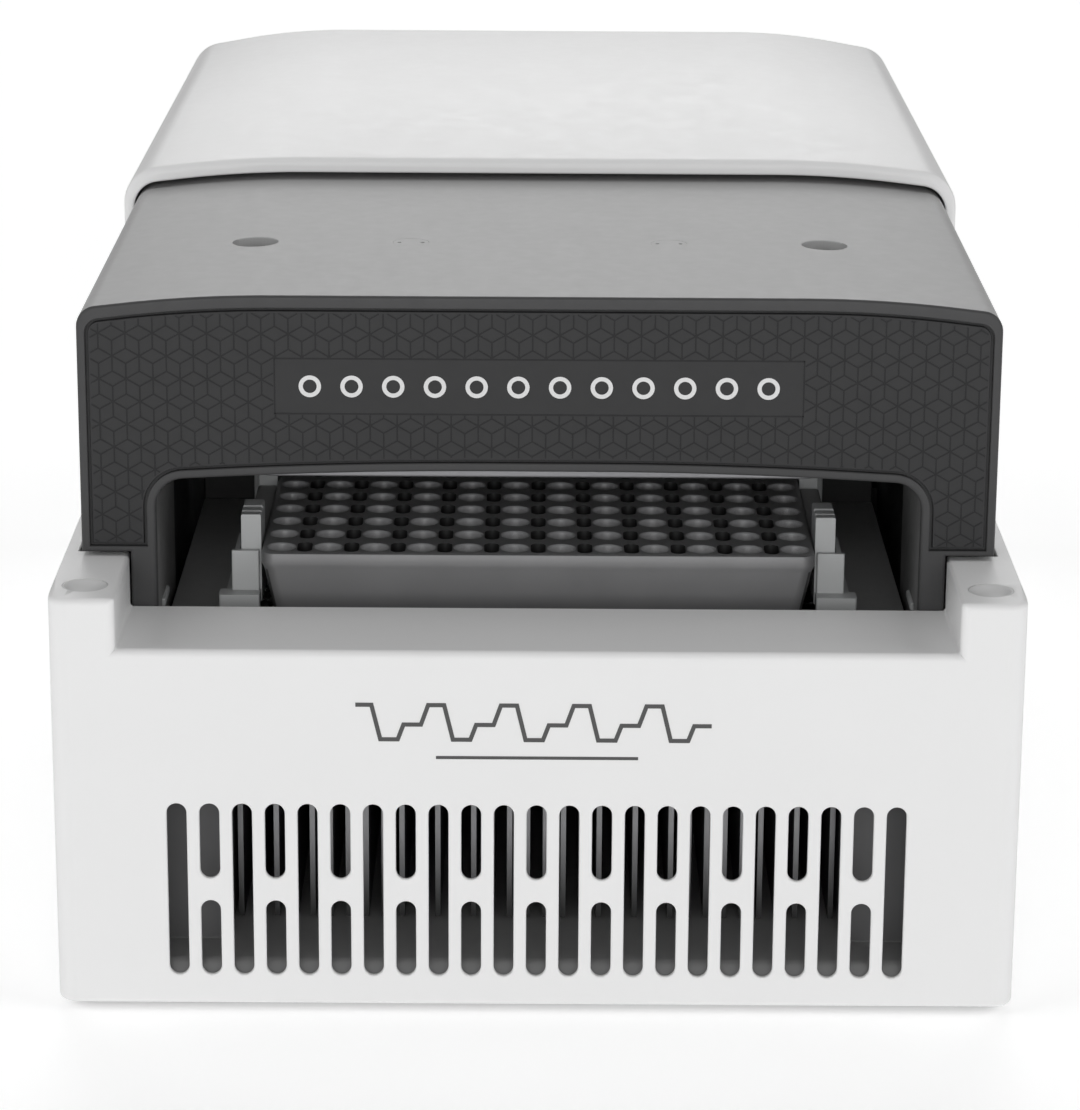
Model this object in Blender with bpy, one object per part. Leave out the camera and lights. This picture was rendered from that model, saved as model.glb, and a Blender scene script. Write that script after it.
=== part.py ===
"""Bench-top thermal cycler for one 96-well plate, with a motorised sliding heated lid.

All sizes below are in millimetres. Positions are (x, depth, height): x to the right, depth back from
the front face, height above the underside of the housing. world() turns them into metres with the
origin at the centre of the footprint, on the surface the feet stand on, +Y to the back and +Z up.
"""

import math

import bmesh
import bpy
from mathutils import Matrix, Vector

MM = 0.001

# Housing
WIDTH = 180.0
DEPTH = 320.0
FOOT_HEIGHT = 1.5
SHELL_WALL = 2.7
SHOULDER_Z = 79.5
NOTCH_HALF = 77.5
NOTCH_FLOOR_Z = 69.8
NOTCH_DEPTH = 27.4
POST_DEPTH = 31.4
CORNER_RADIUS = 4.0
REAR_RADIUS = 7.0
REAR_OPENING_HALF = 78.0
REAR_FRAME_DEPTH = 312.0
FRONT_WALL = 3.0
CAP_X = 83.75
CAP_DEPTH = 9.2
CAP_RADIUS = 4.0
CAP_BOTTOM_Z = 76.8
CAP_TOP_Z = 79.1
FOOT_X = 72.0
FOOT_INSET = 20.0
FOOT_RADIUS = 7.0
TRAY_HALF = 86.9
TRAY_SHEET = 2.0
TRAY_TOP_Z = 75.0

# Front grille
SLOT_COUNT = 23
SLOT_PITCH = 6.08
SLOT_WIDTH = 3.7
SLOT_BOTTOM_Z = 5.9
SLOT_TOP_Z = 40.0
SLOT_SPLIT = (20.8, 25.2)

# Sliding lid
LID_HALF = 86.4
LID_FRONT = 27.8
LID_REAR = 162.8
LID_BOTTOM_Z = 80.4
LID_TOP_Z = 130.15
LID_WALL = 2.2
BEZEL_THICK = 2.5
ARCH_HALF = 72.8
ARCH_TOP_Z = 97.2
LEG_OUTER = 77.2
LEG_BOTTOM_Z = 62.0
PANEL_BOTTOM_Z = 81.5
PANEL_TOP_Z = 127.8
CROWN_DROP = 2.2
CROWN_FLAT = 50.0
PLUG_X = 56.3
PLUG_DEPTH = 76.6
PLUG_HOLE_RADIUS = 4.5
PLATE_INNER = 74.5
PLATE_OUTER = 76.9
PLATE_BOTTOM_Z = 58.0
PLATE_TOP_Z = 123.0

# Rear cover
COVER_HALF = 89.0
COVER_FRONT = 140.0
COVER_BOTTOM_Z = 79.9
COVER_TOP_Z = 134.9
COVER_WALL = 2.3
COVER_ROOF = 3.2

# Sample block
WELL_PITCH = 9.0
WELL_COLUMNS = 12
WELL_ROWS = 8
WELL_RADIUS = 3.2
WELL_DEPTH = 14.0
BLOCK_HALF = 53.2
BLOCK_FRONT = 36.7
BLOCK_REAR = 109.1
BLOCK_CENTRE = (BLOCK_FRONT + BLOCK_REAR) / 2
BLOCK_TOP_Z = 77.6
BLOCK_BOTTOM_Z = 57.4
BLOCK_WAIST_Z = 66.0
BLOCK_SIDE_DRAW = 2.2
BLOCK_FRONT_DRAW = 1.0
BLOCK_CORNER = 2.5

# Heat sink and air path
FIN_COUNT = 34
FIN_PITCH = 3.46
FIN_THICK = 1.0
SINK_FRONT = 26.0
SINK_REAR = 128.0
SINK_BASE_Z = (45.0, 53.0)
FIN_BOTTOM_Z = 7.5
DUCT_HALF = 60.0
DUCT_FLANGE_HALF = 73.5
DUCT_WALL = 1.5
DUCT_FRONT = 3.6
DUCT_FLANGE_DEPTH = 15.4
DUCT_REAR = 133.0
DUCT_Z = (5.6, 44.6)
FAN_SIZE = 50.0
FAN_FRONT = 134.0
FAN_THICK = 20.0
FAN_CENTRE_X = 26.0
FAN_CENTRE_Z = 33.5

# Deck round the block, and the springy bars that lift the plate off it
DECK_HALF = 71.5
DECK_Z = (62.0, 64.0)
DECK_WELL_HALF = 58.6
LIFT_INNER = 53.5
LIFT_OUTER = 57.4
LIFT_MIDDLE = (LIFT_INNER + LIFT_OUTER) / 2
LIFT_TOP_Z = 83.6
LIFT_SADDLE_Z = 75.6
LIFT_FOOT_Z = 66.0
POST_NEAR = 43.0
POST_FAR = 54.0
GUIDE_OUTER = 60.4
GUIDE_FRONT = 38.6
GUIDE_RISER = 41.6
GUIDE_Z = (64.3, 68.35)
GUIDE_TOP_Z = 76.7
SPRING_RADIUS = 1.6
SPRING_WIRE = 0.35

# Heated platen and its press
PLATEN_HALF = 53.0
PLATEN_FRONT = 35.0
PLATEN_Z = (94.0, 102.0)
CARRIER_Z = (108.7, 111.2)
BRIDGE_Z = (120.6, 122.6)
PIN_X = 61.0
PIN_RADIUS = 3.0
PIN_BOTTOM_Z = 98.2
PRESS_MOTOR_RADIUS = 14.0
PRESS_BORE = 7.4
PRESS_SCREW_RADIUS = 2.5

# Lid drive
SCREW_X = 63.0
SCREW_Z = 56.0
SCREW_RADIUS = 3.0
RAIL_Z = 63.0
SCREW_FRONT = 126.0
SCREW_REAR = 284.5
MOTOR_HALF = 14.0
CARRIAGE_OUTER = 84.0
RAIL_INNER = 80.9
RAIL_OUTER = 84.6
RAIL_HALF_HEIGHT = 3.0
SHAFT_CLEARANCE = 0.08

# Rear sockets, by the middle of each
INLET_X = -58.0
SWITCH_X = -27.5
PORTS_X = 6.0
SOCKET_FACE = 319.3
ROCKER_DEPTH = 316.0
ROCKER_Z = 24.0

# Gap kept between pieces that rest on each other
GAP = 0.3


def world(x, depth, height):
    return Vector((x, depth - DEPTH / 2, height + FOOT_HEIGHT)) * MM


def material(name, color, roughness, metallic=0.0):
    found = bpy.data.materials.get(name)
    if found:
        return found
    made = bpy.data.materials.new(name)
    made.use_nodes = True
    shader = made.node_tree.nodes["Principled BSDF"]
    shader.inputs["Base Color"].default_value = (*color, 1.0)
    shader.inputs["Roughness"].default_value = roughness
    shader.inputs["Metallic"].default_value = metallic
    made.diffuse_color = (*color, 1.0)
    return made


def white_plastic():
    return material("white_plastic", (0.80, 0.80, 0.80), 0.45)


def lid_grey():
    return material("lid_grey", (0.40, 0.40, 0.41), 0.4)


def dark_plastic():
    return material("dark_plastic", (0.055, 0.055, 0.058), 0.5)


def black_plastic():
    return material("black_plastic", (0.02, 0.02, 0.02), 0.5)


def steel():
    return material("steel", (0.55, 0.56, 0.57), 0.35, 1.0)


def aluminium():
    return material("aluminium", (0.75, 0.76, 0.77), 0.35, 1.0)


def rubber():
    return material("rubber", (0.03, 0.03, 0.03), 0.8)


def pale_plastic():
    return material("pale_plastic", (0.42, 0.43, 0.43), 0.45)


def object_from(name, bm, mat, origin=(0.0, 0.0, 0.0), smooth=False):
    """An object whose mesh is bm, given in metres in world space, with its origin at `origin` (mm)."""
    at = world(*origin)
    bmesh.ops.recalc_face_normals(bm, faces=bm.faces)
    bmesh.ops.translate(bm, verts=bm.verts, vec=-at)
    mesh = bpy.data.meshes.new(name)
    bm.to_mesh(mesh)
    bm.free()
    if smooth:
        mesh.shade_smooth()
        mesh.set_sharp_from_angle(angle=math.radians(35))
    mesh.materials.append(mat)
    made = bpy.data.objects.new(name, mesh)
    made.location = at
    bpy.context.scene.collection.objects.link(made)
    return made


def add_box(bm, low, high):
    """One box between two corners (x, depth, height)."""
    a, b = world(*low), world(*high)
    centre = Matrix.Translation((a + b) / 2)
    size = Matrix.Diagonal((*(b - a), 1.0))
    return bmesh.ops.create_cube(bm, size=1.0, matrix=centre @ size)["verts"]


def add_prism(bm, outline, along, start, end):
    """One prism: the outline's points are the coordinates left when `along` (0, 1 or 2) is taken out."""

    def corner(point, value):
        spot = list(point)
        spot.insert(along, value)
        return world(*spot)

    base = [bm.verts.new(corner(point, start)) for point in outline]
    far = [bm.verts.new(corner(point, end)) for point in outline]
    bm.faces.new(base)
    bm.faces.new(far[::-1])
    for i, vert in enumerate(base):
        j = (i + 1) % len(base)
        bm.faces.new((vert, far[i], far[j], base[j]))
    return base + far


def add_rod(bm, centre, radius, along, start, end, segments=16, radius_end=None):
    """One round rod or cone along an axis; `centre` is its two other coordinates."""
    radius_end = radius if radius_end is None else radius_end
    rings = []
    for value, size in ((start, radius), (end, radius_end)):
        ring = []
        for i in range(segments):
            turn = 2 * math.pi * i / segments
            spot = [centre[0] + size * math.cos(turn), centre[1] + size * math.sin(turn)]
            spot.insert(along, value)
            ring.append(bm.verts.new(world(*spot)))
        rings.append(ring)
    bm.faces.new(rings[0])
    bm.faces.new(rings[1][::-1])
    for i in range(segments):
        j = (i + 1) % segments
        bm.faces.new((rings[0][i], rings[1][i], rings[1][j], rings[0][j]))


def box(name, low, high, mat, origin=None):
    bm = bmesh.new()
    add_box(bm, low, high)
    return object_from(name, bm, mat, origin or low)


def prism(name, outline, along, start, end, mat, origin=(0.0, 0.0, 0.0)):
    bm = bmesh.new()
    add_prism(bm, outline, along, start, end)
    return object_from(name, bm, mat, origin)


def rod(name, centre, radius, along, start, end, mat, segments=16):
    bm = bmesh.new()
    add_rod(bm, centre, radius, along, start, end, segments)
    origin = list(centre)
    origin.insert(along, start)
    return object_from(name, bm, mat, origin, smooth=True)


def combine(target, operation, bm, label):
    """Adds a Boolean with a hidden helper made from bm."""
    helper = object_from(f"{label}_{target.name}", bm, target.data.materials[0])
    helper.hide_render = True
    helper.display_type = "WIRE"
    modifier = target.modifiers.new(label, "BOOLEAN")
    modifier.operation = operation
    modifier.solver = "EXACT"
    modifier.object = helper


def cut_boxes(target, boxes, label="cut"):
    bm = bmesh.new()
    for low, high in boxes:
        add_box(bm, low, high)
    combine(target, "DIFFERENCE", bm, label)


def join_boxes(target, boxes, label="join"):
    bm = bmesh.new()
    for low, high in boxes:
        add_box(bm, low, high)
    combine(target, "UNION", bm, label)


def arc(centre, radius, start, end, steps):
    """Points along a circular arc, angles in degrees."""
    points = []
    for i in range(steps + 1):
        turn = math.radians(start + (end - start) * i / steps)
        points.append((centre[0] + radius * math.cos(turn), centre[1] + radius * math.sin(turn)))
    return points


def rounded_rectangle(low, high, radius, steps=3):
    left, right = low[0] + radius, high[0] - radius
    near, far = low[1] + radius, high[1] - radius
    points = []
    for centre, start in (((right, near), -90), ((right, far), 0), ((left, far), 90), ((left, near), 180)):
        points += arc(centre, radius, start, start + 90, steps)
    return points


def crowned(half, bottom, top, drop, flat, radius, steps=4):
    """An arch outline from the right foot over the top to the left foot.

    The top is level to `flat` each side of the middle, falls by `drop` towards the corners, and turns
    down through corners of `radius`.
    """
    shoulder = half - radius
    slope = math.degrees(math.atan(2 * drop / (shoulder - flat)))
    right = [(half, bottom)]
    right += arc((shoulder, top - drop - radius), radius, 0, 90 - slope, steps)
    for i in range(1, steps):
        reach = 1 - i / steps
        right.append((flat + (shoulder - flat) * reach, top - drop * reach * reach))
    right.append((flat, top))
    return right + [(-x, z) for x, z in reversed(right)]


def slot_outline(x, low, high):
    r = SLOT_WIDTH / 2
    return arc((x, high - r), r, 0, 180, 5) + arc((x, low + r), r, 180, 360, 5)


def both(builder):
    """Calls a builder for the left (-1) and the right (+1) side."""
    for side, word in ((-1, "left"), (1, "right")):
        builder(side, word)


def span(side, inner, outer):
    """The x limits of a piece between two distances from the middle, on one side."""
    return (side * inner, side * outer) if side > 0 else (side * outer, side * inner)


# ---------------------------------------------------------------------------- housing


def base_shell():
    """The white lower housing: front wall and grille, notch, posts, side walls and rear corners."""
    half = WIDTH / 2
    r, rear = CORNER_RADIUS, REAR_RADIUS
    plan = arc((half - rear, DEPTH - rear), rear, 0, 90, 4)
    plan += arc((-half + rear, DEPTH - rear), rear, 90, 180, 4)
    plan += arc((-half + r, r), r, 180, 270, 4) + arc((half - r, r), r, 270, 360, 4)
    shell = prism("base_shell", plan, 2, 0.0, SHOULDER_Z, white_plastic())
    inner = half - SHELL_WALL
    below, above = -6.0, 95.0
    cut_boxes(shell, [((-NOTCH_HALF, -5.0, NOTCH_FLOOR_Z), (NOTCH_HALF, 40.0, above))], "notch")
    cut_boxes(shell, [((-inner, POST_DEPTH, below), (inner, REAR_FRAME_DEPTH, above))], "inside")
    front_of_bay = ((-NOTCH_HALF, NOTCH_DEPTH, below + 0.5), (NOTCH_HALF, 40.0, above - 0.5))
    cut_boxes(shell, [front_of_bay], "front_of_bay")
    opening = REAR_OPENING_HALF
    rear_cut = ((-opening, 300.0, below - 1.0), (opening, DEPTH + 5.0, above + 1.0))
    cut_boxes(shell, [rear_cut], "rear_opening")
    hollow_top = NOTCH_FLOOR_Z - FRONT_WALL
    cut_boxes(shell, [((-inner, FRONT_WALL, below), (inner, 35.0, hollow_top))], "front_hollow")
    posts = []
    for side in (-1, 1):
        low, high = span(side, NOTCH_HALF + FRONT_WALL, inner)
        posts.append(((low, FRONT_WALL, hollow_top - 7.0), (high, 36.0, SHOULDER_Z - FRONT_WALL)))
    cut_boxes(shell, posts, "post_hollows")
    grille = bmesh.new()
    for i in range(SLOT_COUNT):
        x = (i - SLOT_COUNT // 2) * SLOT_PITCH
        if i % 2 == 0:
            add_prism(grille, slot_outline(x, SLOT_BOTTOM_Z, SLOT_TOP_Z), 1, -4.0, 9.0)
        else:
            add_prism(grille, slot_outline(x, SLOT_BOTTOM_Z, SLOT_SPLIT[0]), 1, -4.0, 9.0)
            add_prism(grille, slot_outline(x, SLOT_SPLIT[1], SLOT_TOP_Z), 1, -4.0, 9.0)
    combine(shell, "DIFFERENCE", grille, "grille")
    holes = bmesh.new()
    for side in (-1, 1):
        add_rod(holes, (side * CAP_X, CAP_DEPTH), CAP_RADIUS + GAP, 2, hollow_top, above, 20)
    combine(shell, "DIFFERENCE", holes, "cap_holes")


def post_cap(side, word):
    centre = (side * CAP_X, CAP_DEPTH)
    rod(f"post_cap_{word}", centre, CAP_RADIUS, 2, CAP_BOTTOM_Z, CAP_TOP_Z, white_plastic(), 20)


def chassis_tray():
    low, high = (-TRAY_HALF, 4.0, GAP), (TRAY_HALF, REAR_FRAME_DEPTH - 0.5, TRAY_TOP_Z)
    tray = box("chassis_tray", low, high, black_plastic())
    inner, floor = TRAY_HALF - TRAY_SHEET, GAP + TRAY_SHEET
    cut_boxes(tray, [((-inner, -1.0, floor), (inner, 330.0, 90.0))], "channel")
    cut_boxes(tray, [((-100.0, -1.0, floor), (100.0, 32.0, 90.0))], "front_relief")


def foot(index):
    word = ("front_left", "front_right", "rear_left", "rear_right")[index]
    x = -FOOT_X if index % 2 == 0 else FOOT_X
    depth = FOOT_INSET if index < 2 else DEPTH - FOOT_INSET
    rod(f"foot_{word}", (x, depth), FOOT_RADIUS, 2, -FOOT_HEIGHT, 0.0, rubber(), 20)


def rear_cover():
    corner = 6.5
    outer = crowned(COVER_HALF, COVER_BOTTOM_Z, COVER_TOP_Z, CROWN_DROP, CROWN_FLAT, corner)
    bm = bmesh.new()
    add_prism(bm, outer, 1, COVER_FRONT, DEPTH)
    back = [e for e in bm.edges if all(v.co.y > world(0, DEPTH - 1, 0).y for v in e.verts)]
    rim = [e for e in back if max(v.co.z for v in e.verts) > world(0, 0, COVER_BOTTOM_Z + 1).z]
    bmesh.ops.bevel(bm, geom=rim, offset=REAR_RADIUS * MM, segments=3, profile=0.5, affect="EDGES")
    cover = object_from("rear_cover", bm, white_plastic(), (0.0, COVER_FRONT, COVER_BOTTOM_Z))
    half, top = COVER_HALF - COVER_WALL, COVER_TOP_Z - COVER_ROOF
    inside = crowned(half, COVER_BOTTOM_Z - 5, top, CROWN_DROP, CROWN_FLAT, corner - 2.0)
    hollow = bmesh.new()
    add_prism(hollow, inside, 1, COVER_FRONT - 5.0, DEPTH - 5.0)
    combine(cover, "DIFFERENCE", hollow, "hollow")


def rear_panel():
    half = REAR_OPENING_HALF - 0.4
    panel = box("rear_panel", (-half, 315.5, GAP), (half, 317.2, 79.2), steel())
    openings = []
    for middle, reach, low, high in (
        (INLET_X, 13.3, 13.7, 34.3),
        (SWITCH_X, 6.8, 13.7, 34.3),
        (PORTS_X, 16.3, 14.7, 28.8),
    ):
        openings.append(((middle - reach, 300.0, low), (middle + reach, 330.0, high)))
    cut_boxes(panel, openings, "ports")
    vents = bmesh.new()
    count, pitch, half_width = 15, 9.5, 2.2
    for i in range(count):
        x = (i - count // 2) * pitch
        outline = rounded_rectangle((x - half_width, 42.0), (x + half_width, 72.0), half_width - 0.1, 3)
        add_prism(vents, outline, 1, 300.0, 330.0)
    combine(panel, "DIFFERENCE", vents, "vents")


# ---------------------------------------------------------------------------- block and cooling


def sample_block():
    """Wells in a block whose flanks draw in below the top."""
    top, bottom = BLOCK_TOP_Z, BLOCK_BOTTOM_Z
    bm = bmesh.new()
    rings = []
    sections = ((bottom, 1.0, 0.0), (BLOCK_WAIST_Z, 1.0, 0.0), (top - 0.8, 0.0, 0.0), (top, 0.0, 0.8))
    for z, draw, edge in sections:
        side, front = draw * BLOCK_SIDE_DRAW + edge, draw * BLOCK_FRONT_DRAW + edge
        low = (-BLOCK_HALF + side, BLOCK_FRONT + front)
        high = (BLOCK_HALF - side, BLOCK_REAR - front)
        outline = rounded_rectangle(low, high, BLOCK_CORNER - edge / 2, 3)
        rings.append([bm.verts.new(world(x, depth, z)) for x, depth in outline])
    bm.faces.new(rings[0])
    bm.faces.new(rings[-1][::-1])
    for lower, upper in zip(rings, rings[1:]):
        for i, vert in enumerate(lower):
            j = (i + 1) % len(lower)
            bm.faces.new((vert, upper[i], upper[j], lower[j]))
    block = object_from("sample_block", bm, aluminium(), (0.0, BLOCK_CENTRE, bottom))
    wells = bmesh.new()
    tip_radius = 1.4
    for column in range(WELL_COLUMNS):
        for row in range(WELL_ROWS):
            x = (column - (WELL_COLUMNS - 1) / 2) * WELL_PITCH
            depth = BLOCK_CENTRE + (row - (WELL_ROWS - 1) / 2) * WELL_PITCH
            add_rod(wells, (x, depth), tip_radius, 2, top - WELL_DEPTH, top + 1.0, 8, WELL_RADIUS)
    combine(block, "DIFFERENCE", wells, "wells")


def peltier(side, word):
    x = side * 25.0
    low = (x - 24.5, BLOCK_CENTRE - 32.0, SINK_BASE_Z[1] + GAP)
    high = (x + 24.5, BLOCK_CENTRE + 32.0, BLOCK_BOTTOM_Z - GAP)
    box(f"peltier_{word}", low, high, material("ceramic", (0.85, 0.85, 0.82), 0.5))


def heat_sink():
    reach = (FIN_COUNT - 1) * FIN_PITCH / 2 + FIN_THICK / 2
    half = reach + 3.5
    low, high = SINK_BASE_Z
    outline = [(-half, low), (-half, high), (half, high), (half, low)]
    for i in range(FIN_COUNT):
        right = reach - i * FIN_PITCH
        left = right - FIN_THICK
        outline += [(right, low), (right, FIN_BOTTOM_Z), (left, FIN_BOTTOM_Z), (left, low)]
    prism("heat_sink", outline, 1, SINK_FRONT, SINK_REAR, aluminium(), (0.0, SINK_FRONT, FIN_BOTTOM_Z))


def air_duct():
    """A floor and two side walls that lead the air to the fins and on to the fans.

    In front, the floor widens to the width of the grille, and a flange beside each wall closes the
    space that the fins leave open.
    """
    bottom, top = DUCT_Z
    flange_rear = DUCT_FLANGE_DEPTH + DUCT_WALL
    low, high = (-DUCT_FLANGE_HALF, DUCT_FRONT, bottom), (DUCT_FLANGE_HALF, flange_rear, bottom + DUCT_WALL)
    duct = box("air_duct", low, high, dark_plastic())
    floor = ((-DUCT_HALF, flange_rear - 1.0, bottom), (DUCT_HALF, DUCT_REAR, bottom + DUCT_WALL))
    join_boxes(duct, [floor], "floor")
    for side, word in ((-1, "left"), (1, "right")):
        near, far = span(side, DUCT_HALF - DUCT_WALL, DUCT_HALF)
        join_boxes(duct, [((near, DUCT_FLANGE_DEPTH, bottom), (far, DUCT_REAR, top))], f"{word}_wall")
        near, far = span(side, DUCT_HALF - 0.5, DUCT_FLANGE_HALF)
        join_boxes(duct, [((near, DUCT_FLANGE_DEPTH, bottom), (far, flange_rear, top))], f"{word}_flange")


def fan(side, word):
    x, z = side * FAN_CENTRE_X, FAN_CENTRE_Z
    half = FAN_SIZE / 2
    front, rear = FAN_FRONT, FAN_FRONT + FAN_THICK
    frame = box(
        f"fan_frame_{word}", (x - half, front, z - half), (x + half, rear, z + half), black_plastic()
    )
    bore = bmesh.new()
    add_rod(bore, (x, z), half - 1.5, 1, front - 5, rear + 5, 28)
    combine(frame, "DIFFERENCE", bore, "bore")
    struts = bmesh.new()
    add_rod(struts, (x, z), 10.5, 1, rear - 3.0, rear - 0.2, 24)
    combine(frame, "UNION", struts, "motor_base")
    reach, strut = half - 1.0, 1.5
    strut_front, strut_rear = rear - 2.4, rear - 0.6
    across = ((x - reach, strut_front, z - strut), (x + reach, strut_rear, z + strut))
    upright = ((x - strut, strut_front, z - reach), (x + strut, strut_rear, z + reach))
    join_boxes(frame, [across], "strut_x")
    join_boxes(frame, [upright], "strut_z")

    bm = bmesh.new()
    add_rod(bm, (x, z), 10.0, 1, front + 2.0, rear - 4.0, 24)
    rotor = object_from(f"fan_rotor_{word}", bm, black_plastic(), (x, front, z), smooth=True)
    blades = bmesh.new()
    for i in range(7):
        verts = add_box(blades, (x + 8.5, front + 8.5, z - 6.5), (x + 22.3, front + 9.9, z + 6.5))
        hub = Matrix.Translation(world(x + 15.0, front + 9.2, z))
        pitch = hub @ Matrix.Rotation(math.radians(35), 4, "X") @ hub.inverted()
        axle = Matrix.Translation(world(x, front + 9.2, z))
        turn = axle @ Matrix.Rotation(2 * math.pi * i / 7, 4, "Y") @ axle.inverted()
        bmesh.ops.transform(blades, matrix=turn @ pitch, verts=verts)
    combine(rotor, "UNION", blades, "blades")


def bay_deck():
    low, high = DECK_Z
    deck = box("bay_deck", (-DECK_HALF, 31.0, low), (DECK_HALF, 124.0, high), black_plastic())
    half = DECK_WELL_HALF
    cut_boxes(deck, [((-half, 35.5, low - 10.0), (half, 110.5, high + 10.0))], "well")


# ---------------------------------------------------------------------------- plate lifting

def mirror_depth(depth):
    """The same distance from the block's middle, on its other side."""
    return 2 * BLOCK_CENTRE - depth


def lift_bar(side, word):
    """A post near each end of the block, and the saddle that joins them beside it."""
    front = [(POST_NEAR, LIFT_FOOT_Z), (POST_NEAR, LIFT_TOP_Z), (POST_FAR, LIFT_TOP_Z)]
    front += [(POST_FAR, LIFT_SADDLE_Z)]
    outline = front + [(mirror_depth(depth), z) for depth, z in reversed(front)]
    low, high = span(side, LIFT_INNER, LIFT_OUTER)
    origin = (side * LIFT_MIDDLE, BLOCK_CENTRE, LIFT_FOOT_Z)
    bar = prism(f"lift_bar_{word}", outline, 0, low, high, pale_plastic(), origin)
    reach = 9.0
    middle = side * LIFT_MIDDLE
    grooves = []
    for near, far in ((45.0, 45.8), (48.2, 49.4)):
        grooves.append(((middle - reach, near, LIFT_TOP_Z - 0.8), (middle + reach, far, LIFT_TOP_Z + 5.0)))
    cut_boxes(bar, grooves, "grooves")


def lift_guide(side, word):
    """A strip beside a lift bar with a pad and an L-shaped riser round each post."""
    bottom, ledge = GUIDE_Z
    strip_inner = LIFT_OUTER + GAP
    low, high = span(side, strip_inner, GUIDE_OUTER)
    near_end, far_end = (low, GUIDE_FRONT, bottom), (high, mirror_depth(GUIDE_FRONT), ledge)
    guide = box(f"lift_guide_{word}", near_end, far_end, pale_plastic())
    pad = span(side, LIFT_INNER, strip_inner + 0.5)
    riser = span(side, LIFT_INNER, strip_inner + 0.9)
    wall = span(side, strip_inner, strip_inner + 0.9)
    plate_rear = POST_NEAR - GAP
    pieces = (
        ("pad", pad, GUIDE_FRONT, plate_rear, bottom, ledge),
        ("riser", riser, GUIDE_RISER, plate_rear, ledge - 0.5, GUIDE_TOP_Z),
        ("wall", wall, GUIDE_RISER, POST_FAR, ledge - 0.5, GUIDE_TOP_Z),
    )
    for label, (left, right), start, end, low_z, high_z in pieces:
        join_boxes(guide, [((left, start, low_z), (right, end, high_z))], f"front_{label}")
        start, end = mirror_depth(end), mirror_depth(start)
        join_boxes(guide, [((left, start, low_z), (right, end, high_z))], f"rear_{label}")


def lift_spring(side, word):
    """A short compression spring between the heat sink and the lift bar."""
    bottom = SINK_BASE_Z[1] + GAP + SPRING_WIRE
    top = LIFT_FOOT_Z - GAP - SPRING_WIRE
    coils, steps = 5, 10
    curve = bpy.data.curves.new(f"lift_spring_{word}", "CURVE")
    curve.dimensions = "3D"
    curve.bevel_depth = SPRING_WIRE * MM
    curve.bevel_resolution = 1
    curve.use_fill_caps = True
    spline = curve.splines.new("POLY")
    count = coils * steps
    spline.points.add(count)
    for i in range(count + 1):
        turn = 2 * math.pi * i / steps
        x = side * LIFT_MIDDLE + SPRING_RADIUS * math.cos(turn)
        depth = BLOCK_CENTRE + SPRING_RADIUS * math.sin(turn)
        spot = world(x, depth, bottom + (top - bottom) * i / count)
        spline.points[i].co = (*spot, 1.0)
    curve.materials.append(steel())
    made = bpy.data.objects.new(f"lift_spring_{word}", curve)
    bpy.context.scene.collection.objects.link(made)


# ---------------------------------------------------------------------------- lid


def lid_outline(inset, bottom, top):
    return crowned(LID_HALF - inset, bottom, top, CROWN_DROP, CROWN_FLAT, max(4.0 - inset, 1.5))


def arch_outline(grow, bottom):
    """The loading arch, from its right foot to its left foot, widened by `grow`."""
    return crowned(ARCH_HALF + grow, bottom, ARCH_TOP_Z + grow, 2.4, 10.0, 5.5 + grow)


def lid_shell():
    front = LID_FRONT + BEZEL_THICK + GAP
    outline = lid_outline(0.0, LID_BOTTOM_Z, LID_TOP_Z)
    shell = prism("lid_shell", outline, 1, front, LID_REAR, lid_grey(), (0.0, front, LID_BOTTOM_Z))
    hollow = bmesh.new()
    add_prism(hollow, lid_outline(LID_WALL, 70.0, LID_TOP_Z - LID_WALL), 1, front - 5, LID_REAR + 5)
    combine(shell, "DIFFERENCE", hollow, "hollow")
    holes = bmesh.new()
    for side in (-1, 1):
        add_rod(holes, (side * PLUG_X, PLUG_DEPTH), PLUG_HOLE_RADIUS, 2, 120.0, 140.0, 20)
    combine(shell, "DIFFERENCE", holes, "plug_holes")


def lid_plug(side, word):
    bottom, top = LID_TOP_Z - 3.15, LID_TOP_Z - 1.3
    centre = (side * PLUG_X, PLUG_DEPTH)
    rod(f"lid_plug_{word}", centre, PLUG_HOLE_RADIUS - GAP, 2, bottom, top, dark_plastic(), 20)


def lid_bezel():
    outline = lid_outline(0.0, LID_BOTTOM_Z, LID_TOP_Z)
    outline += [(-LEG_OUTER, LID_BOTTOM_Z), (-LEG_OUTER, LEG_BOTTOM_Z)]
    outline += arch_outline(0.0, LEG_BOTTOM_Z)[::-1]
    outline += [(LEG_OUTER, LEG_BOTTOM_Z), (LEG_OUTER, LID_BOTTOM_Z)]
    rear = LID_FRONT + BEZEL_THICK
    bezel = prism("lid_bezel", outline, 1, LID_FRONT, rear, dark_plastic(), (0.0, LID_FRONT, LID_BOTTOM_Z))
    pocket = bmesh.new()
    add_prism(pocket, panel_outline(0.0), 1, LID_FRONT - 5, LID_FRONT + 1.3)
    combine(bezel, "DIFFERENCE", pocket, "panel_pocket")


def panel_outline(inset):
    """The patterned panel's outline; inset 0 is its pocket in the bezel."""
    half, bottom, top = LID_HALF - 1.6 - inset, PANEL_BOTTOM_Z + inset, PANEL_TOP_Z - inset
    outer = crowned(half, bottom, top, CROWN_DROP, CROWN_FLAT, 2.8 - inset)
    arch = arch_outline(1.15 + inset, bottom)
    return outer + arch[::-1]


def lid_panel():
    front, rear = LID_FRONT + 0.1, LID_FRONT + 1.0
    origin = (0.0, LID_FRONT, PANEL_BOTTOM_Z)
    prism("lid_panel", panel_outline(0.55), 1, front, rear, dark_plastic(), origin)


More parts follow.
